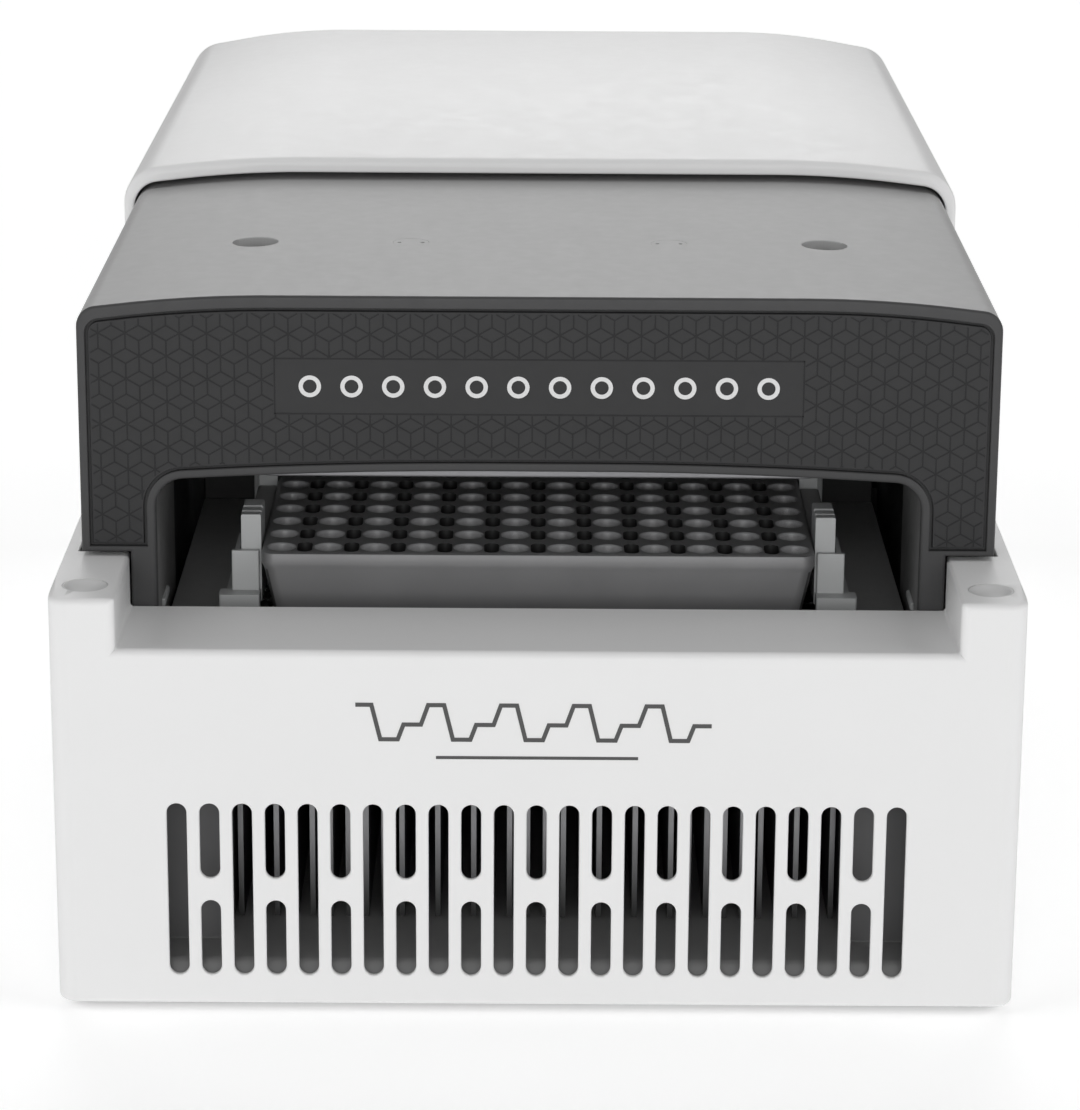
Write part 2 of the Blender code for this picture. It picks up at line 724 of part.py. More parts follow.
def lid_side_plate(side, word):
    """Carries the lid: it reaches from under the roof down into the base, to the carriage.

    A pad in front lines the side of the arch.
    """
    low, high = span(side, PLATE_INNER, PLATE_OUTER)
    front = LID_FRONT + BEZEL_THICK + GAP
    bottom, top = PLATE_BOTTOM_Z, PLATE_TOP_Z
    outline = [(front, bottom), (160.0, bottom), (160.0, top - 5.0), (150.0, top), (front, top)]
    plate = prism(f"lid_side_plate_{word}", outline, 0, low, high, black_plastic(), (low, front, bottom))
    near, far = span(side, ARCH_HALF, PLATE_INNER + 0.5)
    join_boxes(plate, [((near, front, 68.0), (far, 65.0, 90.0))], "front_pad")


def lid_carriage(side, word):
    low, high = span(side, PLATE_OUTER + GAP, CARRIAGE_OUTER)
    half_height = 8.0
    near_end, far_end = (low, 70.0, RAIL_Z - half_height), (high, 110.0, RAIL_Z + half_height)
    carriage = box(f"lid_carriage_{word}", near_end, far_end, steel())
    near, far = span(side, RAIL_INNER - GAP, 90.0)
    reach = RAIL_HALF_HEIGHT + GAP
    cut_boxes(carriage, [((near, 60.0, RAIL_Z - reach), (far, 120.0, RAIL_Z + reach))], "rail_way")


def lid_rail(side, word):
    low, high = span(side, RAIL_INNER, RAIL_OUTER)
    bottom, top = RAIL_Z - RAIL_HALF_HEIGHT, RAIL_Z + RAIL_HALF_HEIGHT
    box(f"lid_rail_{word}", (low, 34.0, bottom), (high, 290.0, top), steel())


def lid_bridge():
    low, high = BRIDGE_Z
    bridge = box("lid_bridge", (-74.2, 34.0, low), (74.2, 122.0, high), steel())
    bm = bmesh.new()
    add_rod(bm, (0.0, BLOCK_CENTRE), PRESS_SCREW_RADIUS + 1.5, 2, low - 10.0, high + 10.0, 16)
    combine(bridge, "DIFFERENCE", bm, "screw_hole")


def guide_pin(side, word):
    centre, top = (side * PIN_X, BLOCK_CENTRE), BRIDGE_Z[0] - GAP
    rod(f"guide_pin_{word}", centre, PIN_RADIUS, 2, PIN_BOTTOM_Z, top, steel(), 12)


def press_motor():
    top = BRIDGE_Z[0] - GAP
    bottom = top - 8.3
    bm = bmesh.new()
    add_rod(bm, (0.0, BLOCK_CENTRE), PRESS_MOTOR_RADIUS, 2, bottom, top, 24)
    motor = object_from("press_motor", bm, black_plastic(), (0.0, BLOCK_CENTRE, bottom), smooth=True)
    bore = bmesh.new()
    add_rod(bore, (0.0, BLOCK_CENTRE), PRESS_BORE, 2, bottom - 10.0, top + 10.0, 20)
    combine(motor, "DIFFERENCE", bore, "bore")


def press_rotor():
    bottom, top = 112.3, 120.0
    bm = bmesh.new()
    add_rod(bm, (0.0, BLOCK_CENTRE), PRESS_BORE - GAP, 2, bottom, top, 20)
    rotor = object_from("press_rotor", bm, steel(), (0.0, BLOCK_CENTRE, bottom), smooth=True)
    bore = bmesh.new()
    radius = PRESS_SCREW_RADIUS + SHAFT_CLEARANCE
    add_rod(bore, (0.0, BLOCK_CENTRE), radius, 2, bottom - 10.0, top + 10.0, 16)
    combine(rotor, "DIFFERENCE", bore, "thread")


def press_screw():
    bottom, top = CARRIER_Z[1] + GAP, 127.2
    rod("press_screw", (0.0, BLOCK_CENTRE), PRESS_SCREW_RADIUS, 2, bottom, top, steel(), 16)


def platen_carrier():
    low, high = CARRIER_Z
    carrier = box("platen_carrier", (-66.0, 36.0, low), (66.0, 110.0, high), steel())
    holes = bmesh.new()
    for x in (-PIN_X, PIN_X):
        add_rod(holes, (x, BLOCK_CENTRE), PIN_RADIUS + SHAFT_CLEARANCE, 2, 100.0, 120.0, 12)
    combine(carrier, "DIFFERENCE", holes, "pin_holes")


def platen():
    """The heated platen, the heater mat on it, and the insulation between that and the carrier."""
    half, front, rear = PLATEN_HALF, PLATEN_FRONT, mirror_depth(PLATEN_FRONT)
    bottom, top = PLATEN_Z
    outline = rounded_rectangle((-half, front), (half, rear), 3.0, 3)
    prism("heated_platen", outline, 2, bottom, top, aluminium(), (0.0, BLOCK_CENTRE, bottom))
    mat_bottom = top + GAP
    mat_top = mat_bottom + 0.8
    silicone = material("silicone", (0.5, 0.12, 0.05), 0.7)
    low, high = (3.0 - half, front + 3.0, mat_bottom), (half - 3.0, rear - 3.0, mat_top)
    box("platen_heater", low, high, silicone)
    foam = material("foam", (0.75, 0.72, 0.62), 0.95)
    low, high = (1.0 - half, front + 1.5, mat_top + GAP), (half - 1.0, rear - 1.5, CARRIER_Z[0] - GAP)
    box("platen_insulation", low, high, foam)


# ---------------------------------------------------------------------------- lid drive


def lead_screw():
    rod("lead_screw", (SCREW_X, SCREW_Z), SCREW_RADIUS, 1, SCREW_FRONT, SCREW_REAR, steel(), 16)


def screw_bearing():
    """A pedestal whose head holds the front end of the lead screw."""
    front, rear = SINK_REAR + 0.6, FAN_FRONT - 0.4
    top = SCREW_Z + 5.5
    bearing = box("screw_bearing", (61.0, front, 2.6), (70.0, rear, top), black_plastic())
    join_boxes(bearing, [((58.6, front, SCREW_Z - 5.5), (65.0, rear, top))], "head")
    bm = bmesh.new()
    add_rod(bm, (SCREW_X, SCREW_Z), SCREW_RADIUS + SHAFT_CLEARANCE, 1, front - 10.0, rear + 10.0, 16)
    combine(bearing, "DIFFERENCE", bm, "bore")


def nut_bracket():
    bracket = box("nut_bracket", (57.5, 141.0, 49.5), (74.2, 157.0, 62.5), black_plastic())
    bm = bmesh.new()
    add_rod(bm, (SCREW_X, SCREW_Z), SCREW_RADIUS + SHAFT_CLEARANCE, 1, 130.0, 170.0, 16)
    combine(bracket, "DIFFERENCE", bm, "thread")


def lid_motor():
    """The motor behind the lead screw, and the plate that it is bolted to."""
    plate = box("motor_plate", (48.0, 281.0, 2.6), (78.5, 283.0, 70.0), steel())
    bm = bmesh.new()
    add_rod(bm, (SCREW_X, SCREW_Z), 5.0, 1, 270.0, 290.0, 16)
    combine(plate, "DIFFERENCE", bm, "screw_hole")
    low = (SCREW_X - MOTOR_HALF, SCREW_REAR + GAP, SCREW_Z - MOTOR_HALF)
    high = (SCREW_X + MOTOR_HALF, 313.0, SCREW_Z + MOTOR_HALF)
    box("lid_motor", low, high, black_plastic())


# ---------------------------------------------------------------------------- electronics


def electronics():
    box("power_supply", (-60.0, 182.0, 4.5), (-6.0, 284.0, 42.0), aluminium())
    board_green = material("circuit_board", (0.02, 0.16, 0.07), 0.5)
    board = box("main_board", (-62.0, 172.0, 47.0), (42.0, 276.0, 48.6), board_green)
    join_boxes(board, [((-50.0, 190.0, 48.2), (-30.0, 210.0, 51.0))], "processor")
    join_boxes(board, [((0.0, 180.0, 48.2), (34.0, 192.0, 58.0))], "terminals")
    box("rear_deck", (-71.5, 130.0, 70.5), (71.5, 312.0, 72.0), black_plastic())


def power_inlet():
    x, face = INLET_X, SOCKET_FACE
    inlet = box("power_inlet", (x - 13.0, 294.0, 14.0), (x + 13.0, face, 34.0), black_plastic())
    join_boxes(inlet, [((x - 18.0, face - 1.8, 11.5), (x + 18.0, face, 36.5))], "flange")
    cut_boxes(inlet, [((x - 12.0, 301.0, 16.0), (x + 12.0, face + 10.0, 32.0))], "socket")


def power_switch():
    x, face = SWITCH_X, SOCKET_FACE
    housing = box("power_switch", (x - 6.5, 300.0, 14.0), (x + 6.5, face, 34.0), black_plastic())
    join_boxes(housing, [((x - 8.5, face - 1.8, 12.0), (x + 8.5, face, 36.0))], "flange")
    cut_boxes(housing, [((x - 5.0, 306.0, 15.5), (x + 5.0, face + 10.0, 32.5))], "well")
    outline = [(311.0, 24.0), (314.0, 17.0), (319.2, 16.6), (317.9, 24.0), (316.4, 31.4), (314.0, 31.0)]
    prism("power_rocker", outline, 0, x - 4.5, x + 4.5, black_plastic(), (x, ROCKER_DEPTH, ROCKER_Z))


def data_ports():
    """A network socket and, beside it, a flat USB socket in one metal shell."""
    x = PORTS_X
    ports = box("data_ports", (x - 16.0, 298.0, 15.0), (x + 16.0, 318.4, 28.5), steel())
    network = ((x - 14.0, 304.0, 17.0), (x - 2.0, 330.0, 25.5))
    usb = ((x + 1.4, 306.0, 18.5), (x + 13.8, 330.0, 23.3))
    cut_boxes(ports, [network, usb], "sockets")


# ---------------------------------------------------------------------------- assembly


def clear_scene():
    for item in list(bpy.data.objects):
        bpy.data.objects.remove(item, do_unlink=True)


def main():
    clear_scene()
    base_shell()
    chassis_tray()
    rear_cover()
    rear_panel()
    sample_block()
    heat_sink()
    air_duct()
    bay_deck()
    for index in range(4):
        foot(index)
    for builder in (post_cap, fan, lift_bar, lift_guide, lift_spring, lid_plug, guide_pin, peltier):
        both(builder)
    for builder in (lid_side_plate, lid_carriage, lid_rail):
        both(builder)
    lid_shell()
    lid_bezel()
    lid_panel()
    lid_bridge()
    press_motor()
    press_rotor()
    press_screw()
    platen_carrier()
    platen()
    lead_screw()
    screw_bearing()
    nut_bracket()
    lid_motor()
    electronics()
    power_inlet()
    power_switch()
    data_ports()


main()
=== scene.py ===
"""Looks of the thermal cycler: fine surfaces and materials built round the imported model.

Lengths below are in millimetres. Positions are (x, depth, height): x to the right, depth back from the
front face, height above the underside of the housing. at() turns them into metres in the row frame.
"""

import math

import bmesh
import bpy
from mathutils import Euler, Matrix, Vector


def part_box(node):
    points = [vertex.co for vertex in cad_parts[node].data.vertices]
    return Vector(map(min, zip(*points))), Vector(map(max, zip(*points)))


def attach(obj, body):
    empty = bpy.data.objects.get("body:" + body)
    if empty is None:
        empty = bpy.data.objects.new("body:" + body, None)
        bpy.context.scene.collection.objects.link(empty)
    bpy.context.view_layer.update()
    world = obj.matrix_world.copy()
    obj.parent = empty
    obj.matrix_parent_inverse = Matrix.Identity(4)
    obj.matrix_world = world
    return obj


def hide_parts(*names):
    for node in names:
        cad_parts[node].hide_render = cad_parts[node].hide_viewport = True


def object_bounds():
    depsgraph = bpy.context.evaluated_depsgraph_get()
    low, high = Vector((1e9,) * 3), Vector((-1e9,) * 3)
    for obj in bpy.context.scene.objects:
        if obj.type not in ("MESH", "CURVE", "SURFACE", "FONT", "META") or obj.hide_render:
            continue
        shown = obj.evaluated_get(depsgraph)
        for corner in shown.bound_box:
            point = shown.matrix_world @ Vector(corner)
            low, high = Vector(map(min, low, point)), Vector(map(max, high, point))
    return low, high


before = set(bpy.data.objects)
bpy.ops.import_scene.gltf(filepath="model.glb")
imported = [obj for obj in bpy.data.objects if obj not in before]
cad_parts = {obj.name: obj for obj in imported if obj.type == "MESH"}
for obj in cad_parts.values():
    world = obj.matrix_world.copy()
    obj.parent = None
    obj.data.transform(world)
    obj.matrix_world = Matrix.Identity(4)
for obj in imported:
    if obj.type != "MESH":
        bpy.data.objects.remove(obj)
CAD_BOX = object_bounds()

MM = 0.001
FRONT = CAD_BOX[0].y / MM
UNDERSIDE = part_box("base_shell")[0].z / MM


def same(a, b):
    """Whether two lengths are equal, but for rounding."""
    return abs(a - b) < 0.05


def at(x, depth, height):
    return Vector((x, FRONT + depth, UNDERSIDE + height)) * MM


def local(place):
    """A place in the row frame as (x, depth, height)."""
    return Vector((place.x / MM, place.y / MM - FRONT, place.z / MM - UNDERSIDE))


class Extent:
    """A CAD node's box."""

    def __init__(self, node):
        low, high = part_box(node)
        self.left, self.front, self.bottom = (round(value, 3) for value in local(low))
        self.right, self.back, self.top = (round(value, 3) for value in local(high))
        self.mid_x = (self.left + self.right) / 2
        self.mid_depth = (self.front + self.back) / 2
        self.mid_z = (self.bottom + self.top) / 2


# ---- camera and light

CAMERA_PLACE = (-0.4, -679.4, 290.3)
CAMERA_PITCH, CAMERA_YAW, CAMERA_ROLL = 16.54, -0.06, 0.36
CAMERA_LENS = 126.36


def linked(name, data):
    made = bpy.data.objects.new(name, data)
    bpy.context.scene.collection.objects.link(made)
    return made


def meshed(name, bm):
    mesh = bpy.data.meshes.new(name)
    bm.to_mesh(mesh)
    bm.free()
    return linked(name, mesh)


def camera():
    data = bpy.data.cameras.new("camera")
    data.lens = CAMERA_LENS
    data.sensor_width = 36.0
    data.clip_start, data.clip_end = 0.01, 50.0
    made = linked("camera", data)
    aim = Euler((math.radians(90.0 - CAMERA_PITCH), 0.0, math.radians(CAMERA_YAW)))
    turn = aim.to_matrix() @ Matrix.Rotation(math.radians(CAMERA_ROLL), 3, "Z")
    made.matrix_world = Matrix.Translation(at(*CAMERA_PLACE)) @ turn.to_4x4()
    bpy.context.scene.camera = made


def sun(name, azimuth, elevation, strength, spread):
    """A far soft light. Azimuth 0 shines from the front, 90 from the right."""
    data = bpy.data.lights.new(name, "SUN")
    data.energy = strength
    data.angle = math.radians(spread)
    made = linked(name, data)
    a, e = math.radians(azimuth), math.radians(elevation)
    toward = Vector((math.sin(a) * math.cos(e), -math.cos(a) * math.cos(e), math.sin(e)))
    made.rotation_mode = "QUATERNION"
    made.rotation_quaternion = toward.to_track_quat("Z", "Y")
    made.location = toward * 2.0


AMBIENT = 0.175
FLOOR_GLOW = 0.36
FLOOR_SIZE = 6.0
SUNS = (
    ("light_back", 180.0, 40.0, 0.58, 40.0),
    ("light_back_low", 180.0, 22.0, 0.32, 30.0),
    ("light_top", 180.0, 80.0, 0.165, 50.0),
    ("light_front", 0.0, 10.0, 1.32, 40.0),
    ("light_left", -80.0, 32.0, 0.74, 40.0),
    ("light_right", 80.0, 32.0, 0.72, 40.0),
)


def lights():
    world = bpy.data.worlds.new("studio")
    world.use_nodes = True
    ground = world.node_tree.nodes["Background"]
    ground.inputs["Color"].default_value = (1.0, 1.0, 1.0, 1.0)
    ground.inputs["Strength"].default_value = AMBIENT
    bpy.context.scene.world = world
    bpy.context.scene.view_settings.view_transform = "Standard"
    for name, azimuth, elevation, strength, spread in SUNS:
        sun(name, azimuth, elevation, strength, spread)


def floor():
    bm = bmesh.new()
    bmesh.ops.create_grid(bm, x_segments=2, y_segments=2, size=FLOOR_SIZE)
    made = meshed("studio_floor", bm)
    made.location.z = CAD_BOX[0].z
    made.data.materials.append(floor_finish())


# ---- materials


class Nodes:
    """A material, with short names for building its nodes. Inputs may be values or sockets to link."""

    def __init__(self, name):
        self.material = bpy.data.materials.new(name)
        self.material.use_nodes = True
        self.tree = self.material.node_tree
        self.shader = self.tree.nodes["Principled BSDF"]
        self.place = self.add("TexCoord", "Object")

    def fill(self, node, inputs):
        for name, value in inputs.items():
            socket = node.inputs[name.replace("_", " ")]
            if isinstance(value, bpy.types.NodeSocket):
                self.tree.links.new(value, socket)
            else:
                socket.default_value = value

    def add(self, kind, output, **inputs):
        node = self.tree.nodes.new(f"ShaderNode{kind}")
        self.fill(node, inputs)
        return node.outputs[output]

    def surface(self, **inputs):
        self.fill(self.shader, inputs)

    def stretched(self, scale):
        return self.add("Mapping", "Vector", Scale=scale, Vector=self.place)

    def noise(self, size, detail=2.0, roughness=0.5, place=None):
        """Noise whose features are about `size` millimetres across."""
        scale = 1.0 / (size * MM)
        place = place or self.place
        return self.add("TexNoise", "Fac", Scale=scale, Detail=detail, Roughness=roughness, Vector=place)

    def spread(self, value, low, high, start=0.3, end=0.7):
        """The value from start to end, by default where noise mostly lies, mapped to a range."""
        limits = {"From_Min": start, "From_Max": end, "To_Min": low, "To_Max": high}
        return self.add("MapRange", "Result", Value=value, **limits)

    def mix(self, value, low, high):
        """A colour that runs from low to high with the value."""
        node = self.tree.nodes.new("ShaderNodeMix")
        node.data_type = "RGBA"
        self.fill(node, {"Factor": value, "A": low, "B": high})
        return node.outputs["Result"]

    def drift(self, color, vary, size):
        """Base colour that varies slowly, by a share of itself."""
        low, high = ((*(min(1.0, c * (1.0 + way * vary)) for c in color), 1.0) for way in (-1, 1))
        self.surface(Base_Color=self.mix(self.spread(self.noise(size, 3.0), 0.0, 1.0), low, high))

    def gloss(self, value, roughness, spread):
        self.surface(Roughness=self.spread(value, roughness - spread, roughness + spread))

    def bump(self, value, height, strength):
        """Bump whose full range is `height` millimetres."""
        normal = self.add("Bump", "Normal", Strength=strength, Distance=height * MM, Height=value)
        self.surface(Normal=normal)


def grey(value):
    return (value, value, value)


def plastic(name, color, roughness, grain=0.22, depth=0.012, vary=0.03, specular=0.5):
    """Nodes of plastic or paint: fine texture, a slow drift of tone and gloss."""
    n = Nodes(name)
    n.drift(color, vary, 35.0)
    n.gloss(n.noise(3.0, 4.0), roughness, 0.05)
    n.bump(n.noise(grain, 2.0, 0.6), depth, 0.6)
    n.surface(Specular_IOR_Level=specular)
    return n


def moulded(*values, **named):
    return plastic(*values, **named).material


def metal(name, color, roughness, brush=None, grain=0.08, depth=0.004, vary=0.06):
    """Metal with a fine grain, drawn out along one axis when `brush` names its scale along x, y and z."""
    n = Nodes(name)
    fine = n.noise(grain, 3.0, 0.6, n.stretched(brush) if brush else None)
    n.drift(color, vary, 18.0)
    n.gloss(fine, roughness, 0.08)
    n.bump(fine, depth, 0.7)
    n.surface(Metallic=1.0)
    return n.material


def duct_with_painted_top_light():
    """Grey plastic whose level faces are painted paler: painted light where the faces look up."""
    n = plastic("duct_plastic", (0.15, 0.15, 0.152), 0.55, specular=0.3)
    bare = n.shader.inputs["Base Color"].links[0].from_socket
    level = n.add("SeparateXYZ", "Z", Vector=n.add("NewGeometry", "Normal"))
    # Painted light: faces that look up mix toward a paler grey, as if lit from above.
    n.surface(Base_Color=n.mix(n.spread(level, 0.0, 1.0, 0.5, 0.95), bare, (*grey(0.33), 1.0)))
    return n.material


def extrusion_with_painted_shade():
    """Anodised fins, painted darker towards their tips at the bottom: painted shade where the light falls
    off.
    """
    n = Nodes("anodised_extrusion_painted_shade")
    fine = n.noise(0.08, 3.0, 0.6, n.stretched((1.0, 0.04, 1.0)))
    tips, roots = (UNDERSIDE + 8.0) * MM, (UNDERSIDE + 27.0) * MM
    # Painted shade: the base colour darkens from the roots down to the tips.
    share = n.spread(n.add("SeparateXYZ", "Z", Vector=n.place), 0.0, 1.0, tips, roots)
    n.surface(Base_Color=n.mix(share, (*grey(0.09), 1.0), (0.36, 0.36, 0.37, 1.0)))
    n.gloss(fine, 0.40, 0.08)
    n.bump(fine, 0.004, 0.7)
    n.surface(Metallic=1.0)
    return n.material


def floor_finish():
    n = Nodes("floor_paper")
    tone = n.mix(n.spread(n.noise(120.0), 0.0, 1.0), (*grey(0.90), 1.0), (*grey(0.91), 1.0))
    n.surface(Base_Color=tone, Roughness=0.9)
    n.surface(Emission_Color=(1.0, 1.0, 1.0, 1.0), Emission_Strength=FLOOR_GLOW)
    return n.material


def block_finish(name, base, roughness):
    """Dark anodised, bead-blasted aluminium."""
    n = Nodes(name)
    blast = n.noise(0.12, 3.0, 0.7)
    n.drift((base, base, base * 1.015), 0.06, 14.0)
    n.gloss(blast, roughness, 0.06)
    n.bump(blast, 0.008, 0.7)
    n.surface(Metallic=0.3)
    return n.material


def board_finish():
    """Green solder mask over copper tracks."""
    n = Nodes("board_mask")
    mask = {"Color1": (0.012, 0.13, 0.05, 1.0), "Color2": (0.018, 0.17, 0.07, 1.0)}
    tracks = {"Mortar": (0.03, 0.24, 0.10, 1.0), "Mortar_Size": 0.06}
    color = n.add("TexBrick", "Color", Scale=240.0, Vector=n.place, **mask, **tracks)
    n.bump(color.node.outputs["Fac"], 0.03, 0.5)
    n.surface(Base_Color=color, Roughness=0.35)
    return n.material


WHITE = moulded("housing_white", grey(0.79), 0.5, vary=0.008)
COVER_WHITE = moulded("cover_white", grey(0.75), 0.42, vary=0.006)
# The cap's darker grey is painted shade for its dish.
CAP_PAINTED_SHADE = moulded("cap_white", grey(0.60), 0.5)
LID_GREY = moulded("lid_grey_paint", grey(0.405), 0.55, grain=0.3, depth=0.004, vary=0.008, specular=0.25)
LID_DARK = moulded("lid_dark_plastic", (0.052, 0.052, 0.053), 0.5, specular=0.3)
# The plug's dark grey is painted shade for the recess over it.
PLUG_PAINTED_SHADE = moulded("plug_grey_plastic", grey(0.10), 0.45)
PANEL_FILM = moulded("panel_film", (0.030, 0.030, 0.031), 0.5, grain=0.5, depth=0.004, specular=0.25)
PANEL_LINES = moulded("panel_line_ink", (0.019, 0.019, 0.020), 0.5, grain=0.5, depth=0.003, specular=0.2)
LIGHT_INK = moulded("light_ink", grey(0.68), 0.4, grain=0.1, depth=0.002)
DARK_INK = moulded("dark_ink", grey(0.06), 0.4, grain=0.1, depth=0.002)
BLACK = moulded("black_plastic", grey(0.02), 0.45)
COATED = moulded("black_powder_coat", grey(0.02), 0.6, grain=0.4, depth=0.02)
DUCT = duct_with_painted_top_light()
LINING = moulded("lining_grey", grey(0.20), 0.5)
OILED = metal("oiled_steel", grey(0.06), 0.35)
PALE = moulded("pale_plastic", (0.48, 0.49, 0.49), 0.42)
RUBBER = moulded("foot_rubber", grey(0.03), 0.8, grain=0.5, depth=0.03)
LACQUER = moulded("motor_lacquer", grey(0.03), 0.3, grain=0.6, depth=0.01)
CERAMIC = moulded("alumina", (0.82, 0.82, 0.79), 0.5, grain=0.15)
SILICONE = moulded("heater_silicone", (0.50, 0.12, 0.05), 0.6, grain=0.4, depth=0.03)
FOAM = moulded("insulation_foam", (0.75, 0.72, 0.62), 0.95, grain=0.8, depth=0.12, vary=0.08)
SHEET = metal("zinc_sheet", (0.55, 0.56, 0.57), 0.38, (1.0, 12.0, 1.0), 0.3, 0.006, 0.10)
STEEL = metal("ground_steel", (0.62, 0.63, 0.64), 0.25, (1.0, 0.06, 1.0))
SINK = extrusion_with_painted_shade()
PLATEN = metal("machined_aluminium", (0.30, 0.30, 0.31), 0.5, (0.05, 1.0, 1.0))
GOLD = metal("contact_gold", (0.83, 0.62, 0.28), 0.25)
BLOCK = block_finish("block_anodised", 0.19, 0.45)
# The block's level top takes a lighter copy of its finish: painted light.
BLOCK_TOP_PAINTED_LIGHT = block_finish("block_top_painted_light", 0.25, 0.5)
# The well walls take a much lighter, glossier copy of the finish: painted highlight on their lit far walls.
BLOCK_WELL_PAINTED_HIGHLIGHT = block_finish("block_well_painted_highlight", 0.46, 0.26)
BOARD = board_finish()

# ---- mesh tools


def smoothed(mesh, angle):
    """Shades a mesh smooth, except over edges sharper than the angle."""
    mesh.shade_smooth()
    mesh.set_sharp_from_angle(angle=math.radians(angle))


def piece(name, bm, finish, body, node=None, smooth=35.0):
    """An object in the row frame made from bm, riding on a body. It may stand for a CAD node."""
    bmesh.ops.recalc_face_normals(bm, faces=bm.faces)
    made = meshed(name, bm)
    made.data.materials.append(finish)
    if smooth:
        smoothed(made.data, smooth)
    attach(made, body)
    if node:
        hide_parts(node)
    return made


def add_box(bm, low, high):
    a, b = at(*low), at(*high)
    size = Matrix.Diagonal((*(b - a), 1.0))
    bmesh.ops.create_cube(bm, size=1.0, matrix=Matrix.Translation((a + b) / 2) @ size)


def add_loft(bm, rings, closed=True):
    """Skins rings of points with equal counts, and closes both ends."""
    made = [[bm.verts.new(at(*point)) for point in ring] for ring in rings]
    for near, far in zip(made, made[1:]):
        for i, vert in enumerate(near):
            j = (i + 1) % len(near)
            bm.faces.new((vert, near[j], far[j], far[i]))
    if closed:
        bm.faces.new(made[0][::-1])
        bm.faces.new(made[-1])
    return made


def loft(rings):
    bm = bmesh.new()
    add_loft(bm, rings)
    return bm


def placed(points, along, value):
    """Flat points as places in space, at one value along an axis (0, 1 or 2)."""
    return [(*point[:along], value, *point[along:]) for point in points]


def add_prism(bm, outline, along, start, end):
    """A prism: the outline holds the two coordinates left when `along` is taken out."""
    add_loft(bm, [placed(outline, along, value) for value in (start, end)])


def prism(outline, along, start, end):
    return loft([placed(outline, along, value) for value in (start, end)])


def add_turned(bm, profile, centre, along=2, segments=32):
    """A turned shape: profile is (radius, place along the axis), its ends closed by flat discs."""
    add_loft(bm, [placed(circle(centre, radius, segments), along, value) for radius, value in profile])


def turned(profile, centre, along=2, segments=32):
    bm = bmesh.new()
    add_turned(bm, profile, centre, along, segments)
    return bm


def boolean(target, operation, bm):
    """Cuts bm from the target or joins it, and applies the result."""
    bmesh.ops.recalc_face_normals(bm, faces=bm.faces)
    helper = meshed("helper", bm)
    modifier = target.modifiers.new("boolean", "BOOLEAN")
    modifier.operation = operation
    modifier.solver = "EXACT"
    modifier.object = helper
    graph = bpy.context.evaluated_depsgraph_get()
    result = bpy.data.meshes.new_from_object(target.evaluated_get(graph))
    target.modifiers.clear()
    old, name = target.data, target.data.name
    target.data = result
    bpy.data.meshes.remove(old)
    result.name = name
    bpy.data.objects.remove(helper)


def cut(target, bm):
    boolean(target, "DIFFERENCE", bm)


def clean(target):
    """Merges doubled points and dissolves the flat leftovers of Booleans."""
    bm = bmesh.new()
    bm.from_mesh(target.data)
    bmesh.ops.remove_doubles(bm, verts=bm.verts, dist=0.002 * MM)
    bmesh.ops.dissolve_limit(bm, angle_limit=math.radians(0.5), verts=bm.verts, edges=bm.edges)
    bm.to_mesh(target.data)
    bm.free()


def bevel(target, name, width, segments, method, clamp):
    modifier = target.modifiers.new(name, "BEVEL")
    modifier.width = width * MM
    modifier.segments = segments
    modifier.limit_method = method
    modifier.use_clamp_overlap = clamp
    modifier.harden_normals = True
    return modifier


def soften(target, width):
    """Rounds every edge sharper than 30 degrees."""
    bevel(target, "soften", width, 2, "ANGLE", True).angle_limit = math.radians(30.0)


def round_edges(target, radius_of, segments=4, angle=25.0):
    """Rounds each sharp edge by the radius that radius_of(middle, direction) gives, 0 for none."""
    bm = bmesh.new()
    bm.from_mesh(target.data)
    weights = bm.edges.layers.float.new("bevel_weight_edge")
    found = {}
    for edge in bm.edges:
        if len(edge.link_faces) != 2 or edge.calc_face_angle(0.0) < math.radians(angle):
            continue
        a, b = (local(vert.co) for vert in edge.verts)
        found[edge] = radius_of((a + b) / 2, (b - a).normalized())
    largest = max(found.values())
    for edge, radius in found.items():
        edge[weights] = radius / largest
    bm.to_mesh(target.data)
    bm.free()
    bevel(target, "round_edges", largest, segments, "WEIGHT", False)


def even_shading(target, angle=40.0):
    """Flat faces shade flat and rounded edges smooth, after rounding and cutting are both in the mesh."""
    smoothed(target.data, angle)
    modifier = target.modifiers.new("even_shading", "WEIGHTED_NORMAL")
    modifier.keep_sharp = True
    modifier.weight = 100


def paint(target, finish, test):
    """Gives the finish to every face whose middle (x, depth, height) passes the test."""
    target.data.materials.append(finish)
    index = len(target.data.materials) - 1
    for face in target.data.polygons:
        if test(local(face.center), face.normal):
            face.material_index = index


def arc(centre, radius, start, end, steps):
    """Points along a circular arc, angles in degrees."""
    turns = [math.radians(start + (end - start) * i / steps) for i in range(steps + 1)]
    return [(centre[0] + radius * math.cos(turn), centre[1] + radius * math.sin(turn)) for turn in turns]


def circle(centre, radius, segments):
    return arc(centre, radius, 0, 360 - 360 / segments, segments - 1)


def quarter(steps):
    """Sine and cosine of evenly spaced angles from 0 to 90 degrees."""
    turns = [math.pi / 2 * i / steps for i in range(steps + 1)]
    return [(math.sin(turn), math.cos(turn)) for turn in turns]


def rounded_rectangle(low, high, radius, steps=6):
    left, right = low[0] + radius, high[0] - radius
    near, far = low[1] + radius, high[1] - radius
    points = []
    for centre, start in (((right, near), -90), ((right, far), 0), ((left, far), 90), ((left, near), 180)):
        points += arc(centre, radius, start, start + 90, steps)
    return points


